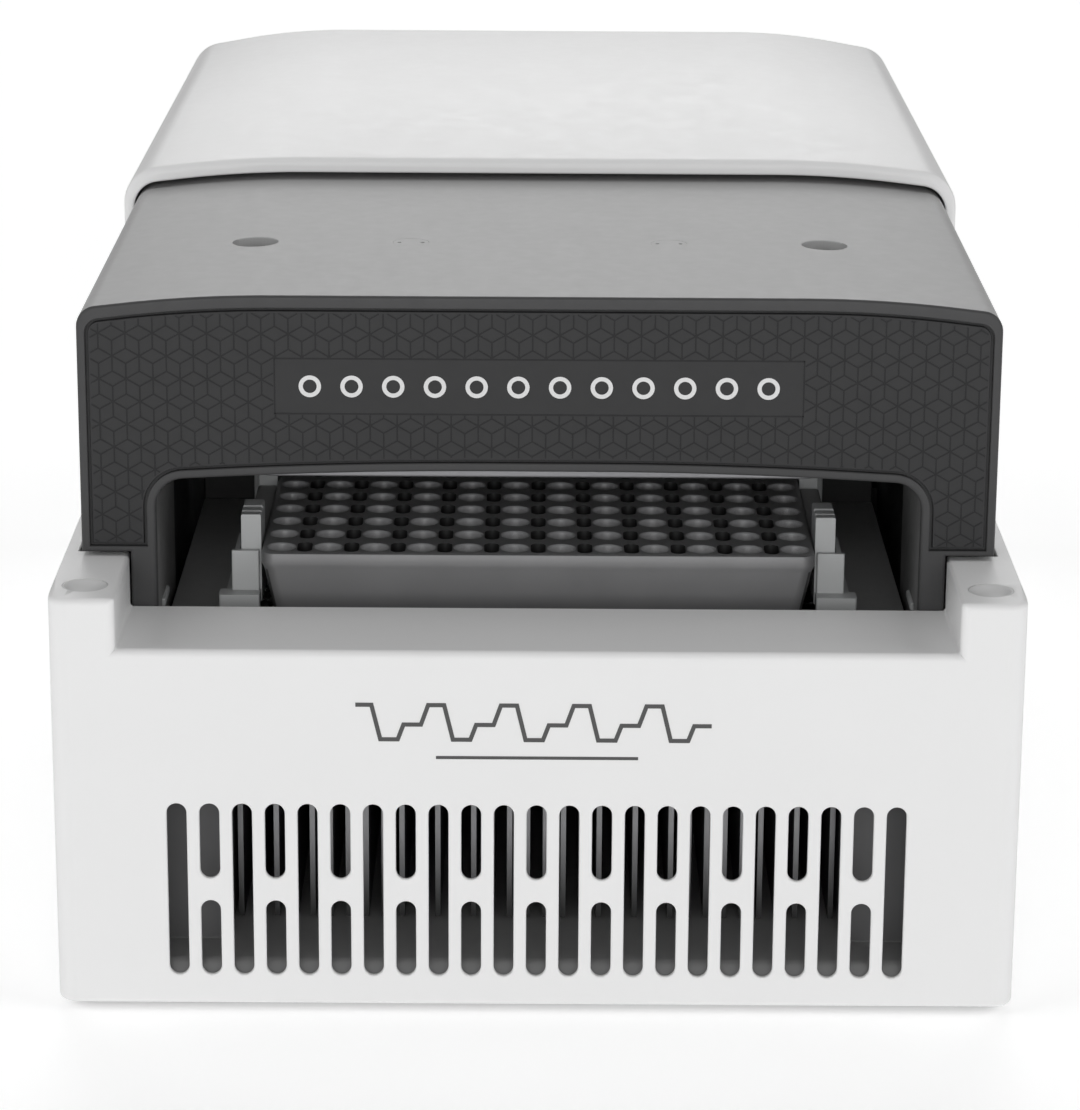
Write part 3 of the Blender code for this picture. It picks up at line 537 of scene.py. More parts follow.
def crowned(half, bottom, top, drop, flat, radius, steps=10):
    """An arch outline from the right foot over the top to the left foot.

    The top is level to `flat` each side of the middle, falls by `drop` towards the corners, and turns
    down through corners of `radius`.
    """
    shoulder = half - radius
    slope = math.degrees(math.atan(2 * drop / (shoulder - flat)))
    right = [(half, bottom)]
    right += arc((shoulder, top - drop - radius), radius, 0, 90 - slope, steps)
    for i in range(1, steps):
        reach = 1 - i / steps
        right.append((flat + (shoulder - flat) * reach, top - drop * reach * reach))
    right.append((flat, top))
    return right + [(-x, z) for x, z in reversed(right)]


def inset(outline, distance):
    """The outline drawn in by a distance, point for point. It runs counter-clockwise."""
    made = []
    for i, point in enumerate(outline):
        before, here, after = Vector(outline[i - 1]), Vector(point), Vector(outline[(i + 1) % len(outline)])
        first, second = (here - before).normalized(), (after - here).normalized()
        inward = Vector((-first.y, first.x)) + Vector((-second.y, second.x))
        reach = distance * 2 / max(inward.length_squared, 0.5)
        made.append(tuple(here + inward * reach))
    return made


def depth_ring(outline, depth, drawn_in=0.0):
    """A closed outline, drawn in by a distance, as a ring of points at one depth."""
    return placed(inset(outline, drawn_in), 1, depth)


def fill_between(bm, outer, inner):
    """Fills the flat face between a loop of points and a loop inside it."""
    edges = []
    for loop in (outer, inner):
        for i, vert in enumerate(loop):
            edges.append(bm.edges.get((vert, loop[(i + 1) % len(loop)])))
    bmesh.ops.triangle_fill(bm, edges=edges, use_beauty=True)


def both(builder):
    """Calls a builder for the left (-1) and the right (+1) side."""
    for side, word in ((-1, "left"), (1, "right")):
        builder(side, word)


def cad(node, finish, width):
    """Gives a CAD node its finish and, with a width, softened edges."""
    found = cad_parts[node]
    found.data.materials.clear()
    found.data.materials.append(finish)
    if width:
        weld = found.modifiers.new("weld", "WELD")
        weld.merge_threshold = 0.001 * MM
        soften(found, width)


# ---- housing

NOTCH_HALF, NOTCH_FLOOR, NOTCH_DEPTH = 77.5, 69.8, 27.4
POST_DEPTH, WALL, GRILLE_SKIN = 31.4, 2.7, 0.9
CAP_X, CAP_DEPTH, CAP_HOLE = 83.75, 9.2, 4.3
SLOT_COUNT, SLOT_PITCH, SLOT_WIDTH = 23, 6.08, 3.7
SLOT_BOTTOM, SLOT_TOP, SLOT_SPLIT = 5.9, 40.0, (20.8, 25.2)


def slot_outline(x, low, high):
    r = SLOT_WIDTH / 2
    return arc((x, high - r), r, 0, 180, 12) + arc((x, low + r), r, 180, 360, 12)


def grille_cutter():
    bm = bmesh.new()
    for i in range(SLOT_COUNT):
        x = (i - SLOT_COUNT // 2) * SLOT_PITCH
        spans = [(SLOT_BOTTOM, SLOT_TOP)]
        if i % 2:
            spans = [(SLOT_BOTTOM, SLOT_SPLIT[0]), (SLOT_SPLIT[1], SLOT_TOP)]
        for low, high in spans:
            add_prism(bm, slot_outline(x, low, high), 1, -4.0, 9.0)
    return bm


def box_cutter(low, high):
    bm = bmesh.new()
    add_box(bm, low, high)
    return bm


def housing_radius(spot, way):
    """How far each sharp edge of the housing is rounded."""
    if same(spot.z, SHELL.top):
        if spot.y > NOTCH_DEPTH + 1.0:
            return 0.3
        if same(abs(spot.x), NOTCH_HALF):
            return 0.9
        return 1.4 if spot.y < NOTCH_DEPTH - 1.0 else 0.3
    if same(spot.y, 0.0):
        if spot.z < 1.0:
            return 1.0
        if SLOT_BOTTOM - 1 < spot.z < SLOT_TOP + 1 and abs(spot.x) < 75.0:
            return 0.35
        return 1.6
    if spot.z < 0.1 and (abs(spot.x) > 86.0 or spot.y < 4.5 or spot.y > 311.0):
        return 0.8
    if same(abs(spot.x), NOTCH_HALF) and spot.y < NOTCH_DEPTH + 1:
        return 0.6
    return 0.0


def housing():
    half, rear = SHELL.right, SHELL.back
    front_radius, rear_radius = 4.0, 7.0
    near, far, back = half - front_radius, half - rear_radius, rear - rear_radius
    plan = arc((far, back), rear_radius, 0, 90, 10) + arc((-far, back), rear_radius, 90, 180, 10)
    plan += arc((-near, front_radius), front_radius, 180, 270, 8)
    plan += arc((near, front_radius), front_radius, 270, 360, 8)
    bm = prism(plan, 2, SHELL.bottom, SHELL.top)
    made = piece("housing_shell", bm, WHITE, "base", "base_shell")
    inner = half - WALL
    opening = Extent("rear_panel").right + 0.4
    thinned = SLOT_PITCH * (SLOT_COUNT // 2) + 3.2
    hollows = (
        ((-NOTCH_HALF, -5.0, NOTCH_FLOOR), (NOTCH_HALF, 40.0, 95.0)),
        ((-inner, POST_DEPTH, -5.0), (inner, rear - 8.0, 95.0)),
        ((-NOTCH_HALF, NOTCH_DEPTH, -5.5), (NOTCH_HALF, 40.0, 94.5)),
        ((-opening, 300.0, -6.0), (opening, rear + 5.0, 96.0)),
        ((-inner, 3.0, -6.0), (inner, 35.0, NOTCH_FLOOR - 3.0)),
        ((-thinned, GRILLE_SKIN, 4.2), (thinned, 6.0, 41.8)),
    )
    for low, high in hollows:
        cut(made, box_cutter(low, high))
    cut(made, grille_cutter())
    clean(made)
    round_edges(made, housing_radius)
    holes = bmesh.new()
    for side in (-1, 1):
        add_turned(holes, ((CAP_HOLE, 76.0), (CAP_HOLE, 95.0)), (side * CAP_X, CAP_DEPTH), segments=48)
    cut(made, holes)
    even_shading(made)


def post_cap(side, word):
    """A shallow dished cap let into the top of a post, its grey darker than the housing: painted shade in the
    dish.
    """
    node = f"post_cap_{word}"
    bottom, top = Extent(node).bottom, SHELL.top - 0.04
    radius = CAP_HOLE - 0.04
    profile = [(0.05, bottom), (radius, bottom), (radius, top - 0.1), (radius - 0.1, top)]
    dish, steps = radius - 0.35, 8
    for i in range(steps + 1):
        reach = 1 - i / steps
        profile.append((max(dish * reach, 0.05), top - 0.9 * (1 - reach ** 3)))
    bm = turned(profile, (side * CAP_X, CAP_DEPTH), segments=48)
    piece(f"{node}_dish", bm, CAP_PAINTED_SHADE, "base", node, 50.0)


def rear_cover():
    box = Extent("rear_cover")
    flat, corner = 50.0, 8.0
    lip, rear_radius, steps = 1.6, 7.0, 8

    def ring(drawn, depth):
        along = (depth - box.front) / (box.back - box.front)
        top, drop = box.top + 0.3 * along - drawn, 2.2 + 1.3 * along
        outline = crowned(box.right - drawn, box.bottom, top, drop, flat, corner - 0.4 * drawn)
        return placed(outline, 1, depth)

    turns = quarter(steps)
    rings = [ring(lip * (1 - sine), box.front + lip * (1 - cosine)) for sine, cosine in turns[:-1]]
    rings += [ring(rear_radius * (1 - cosine), box.back - rear_radius * (1 - sine)) for sine, cosine in turns]
    made = piece("rear_cover_shell", loft(rings), COVER_WHITE, "base", "rear_cover")
    wall, roof = 2.3, 3.2
    hollow = crowned(box.right - wall, box.bottom - 5, box.top - roof, 2.2, flat, 5.5)
    cut(made, prism(hollow, 1, box.front - 5.0, box.back - 5.0))
    clean(made)
    round_edges(made, lambda spot, way: 0.5 * (same(spot.y, box.front) and spot.z > box.bottom + 0.5), 3)


# ---- lid

DROP, FLAT = 2.2, 50.0
ARCH_HALF, ARCH_TOP, ARCH_LIP = 72.3, 96.5, 1.65
LEG_OUTER, PANEL_MARGIN = 77.2, 0.55
RECESS_X, FLUSH_X, PLUG_DEPTH = 56.3, 25.5, 76.6
LIP_DEPTH, LIP_THICK = 0.7, 0.55


def lid_outline(drawn, bottom, top):
    return crowned(LID.right - drawn, bottom, top, DROP, FLAT, max(4.0 - drawn, 1.5))


def arch_outline(grow, bottom):
    return crowned(ARCH_HALF + grow, bottom, ARCH_TOP + grow, 1.75, 10.0, 5.5 + grow)


def panel_outline(drawn):
    half = LID.right - 1.6 - drawn
    bottom, top = 81.5 + drawn, LID.top - 2.35 - drawn
    outer = crowned(half, bottom, top, DROP, FLAT, 2.8 - drawn)
    return outer + arch_outline(ARCH_LIP + drawn, bottom)[::-1]


def lid_shell():
    """The grey shell. A thin lip runs forward over the bezel, nearly to its front."""
    lip_front = Extent("lid_bezel").front + LIP_DEPTH
    bm = prism(lid_outline(0.0, LID.bottom, LID.top), 1, lip_front, LID.back)
    made = piece("lid_shell_skin", bm, LID_GREY, "lid", "lid_shell")
    wall = 2.2
    cut(made, prism(lid_outline(wall, 70.0, LID.top - wall), 1, LID.front - 5, LID.back + 5))
    cut(made, prism(lid_outline(LIP_THICK, 69.0, LID.top - LIP_THICK), 1, lip_front - 5, LID.front))
    holes = bmesh.new()
    for side in (-1, 1):
        add_turned(holes, ((4.5, 120.0), (4.5, 140.0)), (side * RECESS_X, PLUG_DEPTH), segments=40)
        add_turned(holes, ((3.6, LID.top - 1.2), (3.6, 140.0)), (side * FLUSH_X, PLUG_DEPTH), segments=40)
    cut(made, holes)
    clean(made)

    def radius_of(spot, way):
        if spot.z > LID.top - 0.2 and LID.front + 5 < spot.y < LID.back - 5 and abs(way.y) < 0.999:
            return 0.25 if abs(abs(spot.x) - RECESS_X) < 6.0 else 0.02
        if same(spot.y, lip_front):
            return 0.12
        return 0.4 if same(spot.y, LID.back) else 0.0

    round_edges(made, radius_of, 3)


def lid_plug(side, word):
    """The plug at the bottom of a round recess, painted dark as painted shade in the recess."""
    node = f"lid_plug_{word}"
    radius, foot, top = 4.4, Extent(node).bottom, Extent(node).top - 0.9
    profile = ((0.05, foot), (radius, foot), (radius, top - 0.3), (radius - 0.3, top), (0.05, top))
    bm = turned(profile, (side * RECESS_X, PLUG_DEPTH), segments=40)
    piece(f"{node}_sunk", bm, PLUG_PAINTED_SHADE, "lid", node)


def flush_plug(side, word):
    """A flush cap with two spanner holes."""
    radius, top = 3.585, LID.top
    profile = ((0.05, top - 1.1), (radius, top - 1.1), (radius, top - 0.06), (radius - 0.04, top - 0.02))
    bm = turned(profile, (side * FLUSH_X, PLUG_DEPTH), segments=40)
    made = piece(f"lid_flush_plug_{word}", bm, LID_GREY, "lid")
    holes = bmesh.new()
    for way in (-1, 1):
        centre = (side * FLUSH_X + way * 2.3, PLUG_DEPTH)
        add_turned(holes, ((0.45, top - 0.8), (0.45, top + 1.0)), centre, segments=16)
    cut(made, holes)


def lid_bezel():
    """The dark arch in front of the lid, with a pocket for the panel and a step for the shell's lip."""
    box = Extent("lid_bezel")

    def outline(step):
        points = lid_outline(step, LID.bottom, box.top - step)
        points += [(-LEG_OUTER, LID.bottom), (-LEG_OUTER, box.bottom)]
        points += arch_outline(0.0, box.bottom)[::-1]
        return points + [(LEG_OUTER, box.bottom), (LEG_OUTER, LID.bottom)]

    edge, steps = 0.6, 5
    lowered, plain = outline(LIP_THICK + 0.05), outline(0.0)
    bm = bmesh.new()
    rings = [depth_ring(lowered, box.back, 0.1), depth_ring(lowered, box.back - 0.1)]
    step_depth = box.front + LIP_DEPTH - 0.05
    rings += [depth_ring(lowered, step_depth), depth_ring(plain, step_depth - 0.01)]
    for sine, cosine in quarter(steps):
        rings.append(depth_ring(plain, box.front + edge * (1 - sine), edge * (1 - cosine)))
    skin = add_loft(bm, rings, closed=False)
    bm.faces.new(skin[0])
    pocket = []
    for grow, deep in ((0.15, 0.0), (0.0, 0.15), (0.0, 1.3)):
        pocket.append(depth_ring(panel_outline(-grow), box.front + deep))
    walls = add_loft(bm, pocket, closed=False)
    bm.faces.new(walls[-1])
    fill_between(bm, skin[-1], walls[0])
    piece("lid_bezel_frame", bm, LID_DARK, "lid", "lid_bezel")


PLATE_INNER = 74.2


def side_plate(side, word):
    """The lid's inner side wall, with a row of lightening slots."""
    node = f"lid_side_plate_{word}"
    box = Extent(node)
    outer = max(abs(box.left), abs(box.right))
    outline = rounded_rectangle((box.front, box.bottom), (box.back, box.top), 2.0, 4)
    bm = prism(outline, 0, side * PLATE_INNER, side * outer)
    made = piece(f"{node}_wall", bm, COATED, "lid", node)
    slots = bmesh.new()
    for depth in (76.0, 98.0, 120.0):
        outline = rounded_rectangle((depth, 80.0), (depth + 14.0, 108.0), 3.0, 5)
        add_prism(slots, outline, 0, side * 73.0, side * 78.0)
    cut(made, slots)
    soften(made, 0.3)


def arch_lining(side, word):
    """A moulded lining round the side and corner of the arch, ending square a little way in."""
    thick, reach, bezel = 1.3, 62.0, Extent("lid_bezel")
    inner = [point for point in arch_outline(0.0, bezel.bottom) if point[0] > reach]
    outer = [point for point in arch_outline(thick, bezel.bottom) if point[0] > reach]
    bm = prism([(side * x, z) for x, z in inner + outer[::-1]], 1, bezel.back + 0.05, 65.0)
    soften(piece(f"arch_lining_{word}", bm, LINING, "lid"), 0.25)


def glide_strip(side, word):
    """A pale strip along the bottom of the arch's side lining."""
    outline = rounded_rectangle((ARCH_HALF - 0.6, 66.7), (ARCH_HALF + 0.8, 68.3), 0.4, 4)
    bm = prism([(side * x, z) for x, z in outline], 1, 37.0, 46.0)
    soften(piece(f"glide_strip_{word}", bm, PALE, "lid"), 0.2)


# ---- the patterned panel

LATTICE, LATTICE_TOP = 5.065, 122.9
LINE_WIDTH, PRINT_HEIGHT = 0.28, 0.05
LABEL_HALF, LABEL_BOTTOM, LABEL_TOP = 49.5, 107.6, 118.2


def inside(point, outline):
    """Even-odd test of a point in a closed outline."""
    x, z = point
    found = False
    for (x0, z0), (x1, z1) in zip(outline, outline[1:] + outline[:1]):
        if (z0 > z) != (z1 > z) and x < (x1 - x0) * (z - z0) / (z1 - z0) + x0:
            found = not found
    return found


def add_stroke(bm, start, end, width, face, height=PRINT_HEIGHT):
    """A printed line from start to end, its ends squared off, standing a little proud of a face."""
    a, b = Vector(start), Vector(end)
    along = (b - a).normalized()
    side = Vector((-along.y, along.x)) * width / 2
    a, b = a - along * width * 0.3, b + along * width * 0.3
    outline = [tuple(a - side), tuple(b - side), tuple(b + side), tuple(a + side)]
    add_prism(bm, outline, 1, face + 0.02, face - height)


def clipped(start, end, keep):
    """The part of a line from the first to the last of its points that keep() allows, or None."""
    a, b, steps = Vector(start), Vector(end), 12
    kept = [i for i in range(steps + 1) if keep(a.lerp(b, i / steps))]
    if len(kept) < 2:
        return None
    return a.lerp(b, kept[0] / steps), a.lerp(b, kept[-1] / steps)


def lid_panel():
    box = Extent("lid_panel")
    bm = prism(panel_outline(PANEL_MARGIN), 1, box.front, box.back)
    made = piece("lid_panel_film", bm, PANEL_FILM, "lid", "lid_panel")
    clean(made)
    round_edges(made, lambda spot, way: 0.2 if same(spot.y, box.front) else 0.0, 2, 20.0)


def panel_pattern():
    """Lines of a tiling of rhombs: from each point of a triangular lattice to the six triangles round it."""
    face = Extent("lid_panel").front
    edge = panel_outline(PANEL_MARGIN + 0.35)
    row_height = LATTICE * math.sqrt(3) / 2
    spoke = LATTICE / math.sqrt(3)

    def keep(point):
        beside = abs(point.x) >= LABEL_HALF + LINE_WIDTH
        clear = not LABEL_BOTTOM - LINE_WIDTH < point.y < LABEL_TOP + LINE_WIDTH
        return inside(point, edge) and (beside or clear)

    bm = bmesh.new()
    for row in range(-2, 12):
        for column in range(-18, 19):
            x = (column - 0.25 + 0.5 * (row % 2)) * LATTICE
            z = LATTICE_TOP - row * row_height
            for i in range(6):
                turn = math.radians(30 + 60 * i)
                tip = (x + spoke * math.cos(turn), z + spoke * math.sin(turn))
                kept = clipped((x, z), tip, keep)
                if kept:
                    add_stroke(bm, *kept, LINE_WIDTH, face, PRINT_HEIGHT + 0.002 * i)
            if keep(Vector((x, z))):
                add_prism(bm, circle((x, z), 0.34, 12), 1, face + 0.02, face - PRINT_HEIGHT - 0.015)
    corners = [(-LABEL_HALF, LABEL_BOTTOM), (LABEL_HALF, LABEL_BOTTOM)]
    corners += [(LABEL_HALF, LABEL_TOP), (-LABEL_HALF, LABEL_TOP)]
    for start, end in zip(corners, corners[1:] + corners[:1]):
        add_stroke(bm, start, end, LINE_WIDTH, face)
    piece("lid_panel_pattern", bm, PANEL_LINES, "lid", smooth=0.0)


def panel_mark():
    """A plain row of rings, like a strip of wells, on the panel's label."""
    face = Extent("lid_panel").front
    rings, pitch, outer, inner = 12, 7.8, 2.1, 1.3
    z = (LABEL_BOTTOM + LABEL_TOP) / 2
    bottom, top = face + 0.02, face - PRINT_HEIGHT
    bm = bmesh.new()
    for i in range(rings):
        x = (i - (rings - 1) / 2) * pitch
        section = ((outer, bottom), (outer, top), (inner, top), (inner, bottom), (outer, bottom))
        loops = [placed(circle((x, z), radius, 32), 1, depth) for radius, depth in section]
        add_loft(bm, loops, closed=False)
    bmesh.ops.remove_doubles(bm, verts=bm.verts, dist=0.001 * MM)
    piece("lid_panel_mark", bm, LIGHT_INK, "lid", smooth=0.0)


def ribbon(points, width):
    """The outline of a line of constant width through the points, mitred at its bends."""
    near, far = [], []
    for i, point in enumerate(points):
        here = Vector(point)
        before = (here - Vector(points[i - 1])).normalized() if i else None
        after = (Vector(points[i + 1]) - here).normalized() if i + 1 < len(points) else before
        before = before or after
        across = Vector((-before.y - after.y, before.x + after.x)).normalized()
        reach = width / 2 / max(across.dot(Vector((-after.y, after.x))), 0.4)
        near.append(tuple(here + across * reach))
        far.append(tuple(here - across * reach))
    return near + far[::-1]


def grille_sill():
    """A sloping sill that carries the duct's floor down to the foot of the slots."""
    half = SLOT_PITCH * (SLOT_COUNT // 2) + 2.6
    duct = Extent("air_duct")
    near, far, foot = GRILLE_SKIN + 0.2, duct.front + 2.5, duct.bottom
    profile = ((near, 4.7), (duct.front + 0.2, foot + 0.05), (far, foot + 1.45))
    profile += ((far, foot + 1.6), (duct.front - 0.3, foot + 1.5), (near, 5.6))
    bm = prism(profile, 0, -half, half)
    piece("grille_sill", bm, DUCT, "base")


def front_mark():
    """A plain step line, like a temperature programme, printed on the front."""
    half, cycles, width = 33.5, 5, 0.8
    steps = ((0.0, 59.6), (0.22, 59.6), (0.34, 52.9), (0.58, 52.9), (0.66, 55.8), (0.9, 55.8))
    span = 2 * half / cycles
    points = []
    for i in range(cycles):
        x = -half + i * span
        points += [(x + span * share, z) for share, z in steps]
    bm = prism(ribbon(points, width), 1, 0.02, -PRINT_HEIGHT)
    add_stroke(bm, (-18.5, 49.4), (18.5, 49.4), 0.6, 0.0)
    bmesh.ops.triangulate(bm, faces=[face for face in bm.faces if len(face.verts) > 4])
    piece("front_mark", bm, DARK_INK, "base", smooth=0.0)


# ---- sample block

WELL_PITCH, WELL_COLUMNS, WELL_ROWS = 9.0, 12, 8
WELL_RADIUS, WELL_DEPTH = 2.85, 14.0


def sample_block():
    """A block with tapered wells; narrow pockets between them lighten it."""
    box = Extent("sample_block")
    shoulder, side_draw, front_draw = box.top - 2.4, 2.2, 0.5
    sections = ((box.bottom, 1.0, 0.0), (66.0, 1.0, 0.0), (shoulder - 1.0, 0.22, 0.0))
    sections += ((shoulder - 0.5, 0.12, 0.0), (shoulder, 0.0, 0.0), (shoulder + 0.3, 0.0, 0.0))
    sections += ((box.top - 0.4, 0.0, 0.0), (box.top - 0.12, 0.0, 0.12), (box.top, 0.0, 0.4))
    rings = []
    for z, draw, edge in sections:
        side, front = side_draw * draw + edge, front_draw * draw + edge
        low, high = (box.left + side, box.front + front), (box.right - side, box.back - front)
        rings.append(placed(rounded_rectangle(low, high, 2.5 - 0.4 * edge, 8), 2, z))
    made = piece("sample_block_wells", loft(rings), BLOCK, "base", "sample_block")
    tip, lip, floor_z = 1.3, 0.25, box.top - WELL_DEPTH
    profile = [(0.1, floor_z), (0.8, floor_z + 0.25), (tip, floor_z + 1.2)]
    profile += [(WELL_RADIUS - lip, box.top - lip), (WELL_RADIUS, box.top), (WELL_RADIUS, box.top + 1.0)]
    half_wide, half_long, pocket_depth, half_pitch = 1.45, 3.2, 6.0, WELL_PITCH / 2
    wells, pockets = bmesh.new(), bmesh.new()
    for column in range(WELL_COLUMNS):
        for row in range(WELL_ROWS):
            x = (column - (WELL_COLUMNS - 1) / 2) * WELL_PITCH
            depth = box.mid_depth + (row - (WELL_ROWS - 1) / 2) * WELL_PITCH
            add_turned(wells, profile, (x, depth), segments=28)
            if column:
                middle = x - half_pitch
                low, high = (middle - half_wide, depth - half_long), (middle + half_wide, depth + half_long)
                outline = rounded_rectangle(low, high, half_wide - 0.02, 6)
                add_prism(pockets, outline, 2, box.top - pocket_depth, box.top + 1.0)
    cut(made, wells)
    cut(made, pockets)

    def in_well(spot):
        x, depth = spot.x - half_pitch, spot.y - box.mid_depth - half_pitch
        return math.hypot(math.remainder(x, WELL_PITCH), math.remainder(depth, WELL_PITCH)) < WELL_RADIUS

    def sunk(spot):
        return spot.z < box.top - 0.01

    def within(spot):
        return abs(spot.x) < box.right - 1.2 and box.front + 1.2 < spot.y < box.back - 1.2

    # Painted light: the level top takes the lighter copy of the block's finish.
    paint(made, BLOCK_TOP_PAINTED_LIGHT, lambda spot, normal: not sunk(spot) and normal.z > 0.9)
    # Painted highlight: the wells' walls take the lighter, glossier copy.
    paint(made, BLOCK_WELL_PAINTED_HIGHLIGHT, lambda spot, normal: sunk(spot) and in_well(spot))
    # Painted shade: the pockets' bores are painted black.
    paint(made, BLACK, lambda spot, normal: sunk(spot) and within(spot) and not in_well(spot))
    smoothed(made.data, 30.0)


def lift_sleeve(word):
    """A dark cushion over the saddle between the two posts of a lift bar."""
    bar = Extent(f"lift_bar_{word}")
    outline = rounded_rectangle((bar.left - 0.15, 70.0), (bar.right + 0.15, 76.0), 0.6, 4)
    bm = prism(outline, 1, bar.front + 11.4, bar.back - 11.4)
    soften(piece(f"lift_sleeve_{word}", bm, DUCT, f"lift_{word}"), 0.3)


def lift_guide(side, word):
    """The fixed rail beside a lift bar, with a stepped stop at each end."""
    node = f"lift_guide_{word}"
    box = Extent(node)
    inner, outer = sorted((abs(box.left), abs(box.right)))
    track = inner + 4.2

    def block(near, far, front, back, bottom, top, radius):
        left, right = sorted((side * near, side * far))
        return prism(rounded_rectangle((left, front), (right, back), radius, 4), 2, bottom, top)

    bm = block(track, outer, box.front, box.back, box.bottom, 68.35, 0.35)
    made = piece(f"{node}_rail", bm, PALE, "base", node)
    first, last = box.front + 3.0, box.back - 4.1
    blocks = (
        (inner + 0.4, outer - 1.2, first, first + 1.1, box.bottom + 0.5, box.top, 0.3),
        (inner + 0.4, outer - 1.2, last, last + 1.1, box.bottom + 0.5, box.top, 0.3),
        (track, track + 0.9, first + 0.5, first + 12.0, 66.0, box.top, 0.2),
        (inner + 0.2, outer + 1.1, box.front - 0.4, first + 0.9, box.bottom, 68.8, 0.4),
    )
    for values in blocks:
        boolean(made, "UNION", block(*values))
    clean(made)
    soften(made, 0.2)


def heated_platen():
    """The heated plate, its lower edges well rounded."""
    box = Extent("heated_platen")
    edge, bottom = 0.5, box.bottom - 0.6
    sections = [(bottom + edge * (1 - cosine), edge * (1 - sine)) for sine, cosine in quarter(5)]
    rings = []
    for z, inward in sections + [(box.top - 0.3, 0.0), (box.top, 0.3)]:
        low, high = (box.left + inward, box.front + inward), (box.right - inward, box.back - inward)
        rings.append(placed(rounded_rectangle(low, high, 2.5 - inward, 5), 2, z))
    piece("heated_platen_plate", loft(rings), PLATEN, "platen", "heated_platen")


def deck_step():
    """The upright that joins the deck of the bay to the higher deck behind it."""
    low, high = Extent("bay_deck"), Extent("rear_deck")
    near, far, thick = low.back + 0.1, high.front + 0.4, 1.0
    profile = ((near, low.bottom), (near + thick, low.bottom), (near + thick, high.top - thick))
    profile += ((far, high.top - thick), (far, high.top), (near, high.top))
    soften(piece("deck_step", prism(profile, 0, low.left, low.right), BLACK, "base"), 0.3)


# ---- mechanism


def threaded_rod(centre, along, start, end, radius, lead, starts):
    """A rod with a trapezoid thread."""
    ridge, per_ridge, chamfer, segments = 0.45, 8, 0.8, 24
    count = max(2, round((end - start) / (lead / starts) * per_ridge))
    rings = []
    for i in range(count + 1):
        value = start + (end - start) * i / count
        limit = radius - max(0.0, chamfer - min(value - start, end - value))
        ring = []
        for j in range(segments):
            turn = 2 * math.pi * j / segments
            phase = (starts * (value / lead - j / segments)) % 1.0
            height = min(1.0, max(0.0, 2.0 - 4.0 * abs(phase - 0.5)))
            reach = min(radius - ridge * (1 - height), limit)
            ring.append((centre[0] + reach * math.cos(turn), centre[1] + reach * math.sin(turn)))
        rings.append(placed(ring, along, value))
    return loft(rings)


def screws():
    """The lead screw of the lid and the short screw that presses the platen."""
    box = Extent("lead_screw")
    radius = (box.top - box.bottom) / 2
    bm = threaded_rod((box.mid_x, box.mid_z), 1, box.front, box.back, radius, 8.0, 4)
    piece("lead_screw_thread", bm, STEEL, "lead_screw", "lead_screw", 60.0)
    box = Extent("press_screw")
    radius = (box.right - box.left) / 2
    bm = threaded_rod((box.mid_x, box.mid_depth), 2, box.bottom, box.top, radius, 2.0, 1)
    piece("press_screw_thread", bm, STEEL, "platen", "press_screw", 60.0)


def fan_rotor(word):
    """A hub with seven twisted, cambered blades."""
    node = f"fan_rotor_{word}"
    frame_box = Extent(f"fan_frame_{word}")
    x, z = frame_box.mid_x, frame_box.mid_z
    front, rear = Extent(node).front, Extent(node).back
    profile = ((0.05, front + 0.4), (8.8, front + 0.4), (9.6, front + 0.9), (10.0, front + 2.0))
    profile += ((10.0, rear), (0.05, rear))
    bm = turned(profile, (x, z), 1, 40)
    made = piece(f"{node}_blades", bm, BLACK, f"fan_{word}", node)
    blades, sections, points = bmesh.new(), 6, 8
    for blade in range(7):
        rings = []
        for i in range(sections + 1):
            share = i / sections
            radius = 9.4 + 13.1 * share
            chord, pitch = 11.5 + 3.0 * share, math.radians(50 - 20 * share)
            line = []
            for face in (1, -1):
                for j in range(points + 1):
                    t = (j / points if face > 0 else 1 - j / points) - 0.5
                    camber = 1.4 * (1 - 4 * t * t)
                    thick = 0.75 * (1 - 0.4 * share) * (1 - 3.0 * t * t)
                    along, off = t * chord, camber + face * max(thick, 0.12)
                    around = along * math.cos(pitch) - off * math.sin(pitch)
                    depth = (front + rear) / 2 + along * math.sin(pitch) + off * math.cos(pitch)
                    turn = 2 * math.pi * blade / 7 + around / radius + 0.25 * share
                    line.append((x + radius * math.cos(turn), depth, z + radius * math.sin(turn)))
            rings.append(line)
        add_loft(blades, rings)
    boolean(made, "UNION", blades)
    even_shading(made)


# ---- rear


def add_screw_head(bm, x, z, face, radius):
    """A domed screw head on a face that looks back; rear_screws cuts its cross recess."""
    profile = [(0.05, face - 0.1), (radius, face - 0.1), (radius, face + 0.25 * radius)]
    for sine, cosine in quarter(6)[1:]:
        profile.append((max(radius * cosine, 0.05), face + radius * (0.25 + 0.3 * sine)))
    add_turned(bm, profile, (x, z), 1, 28)


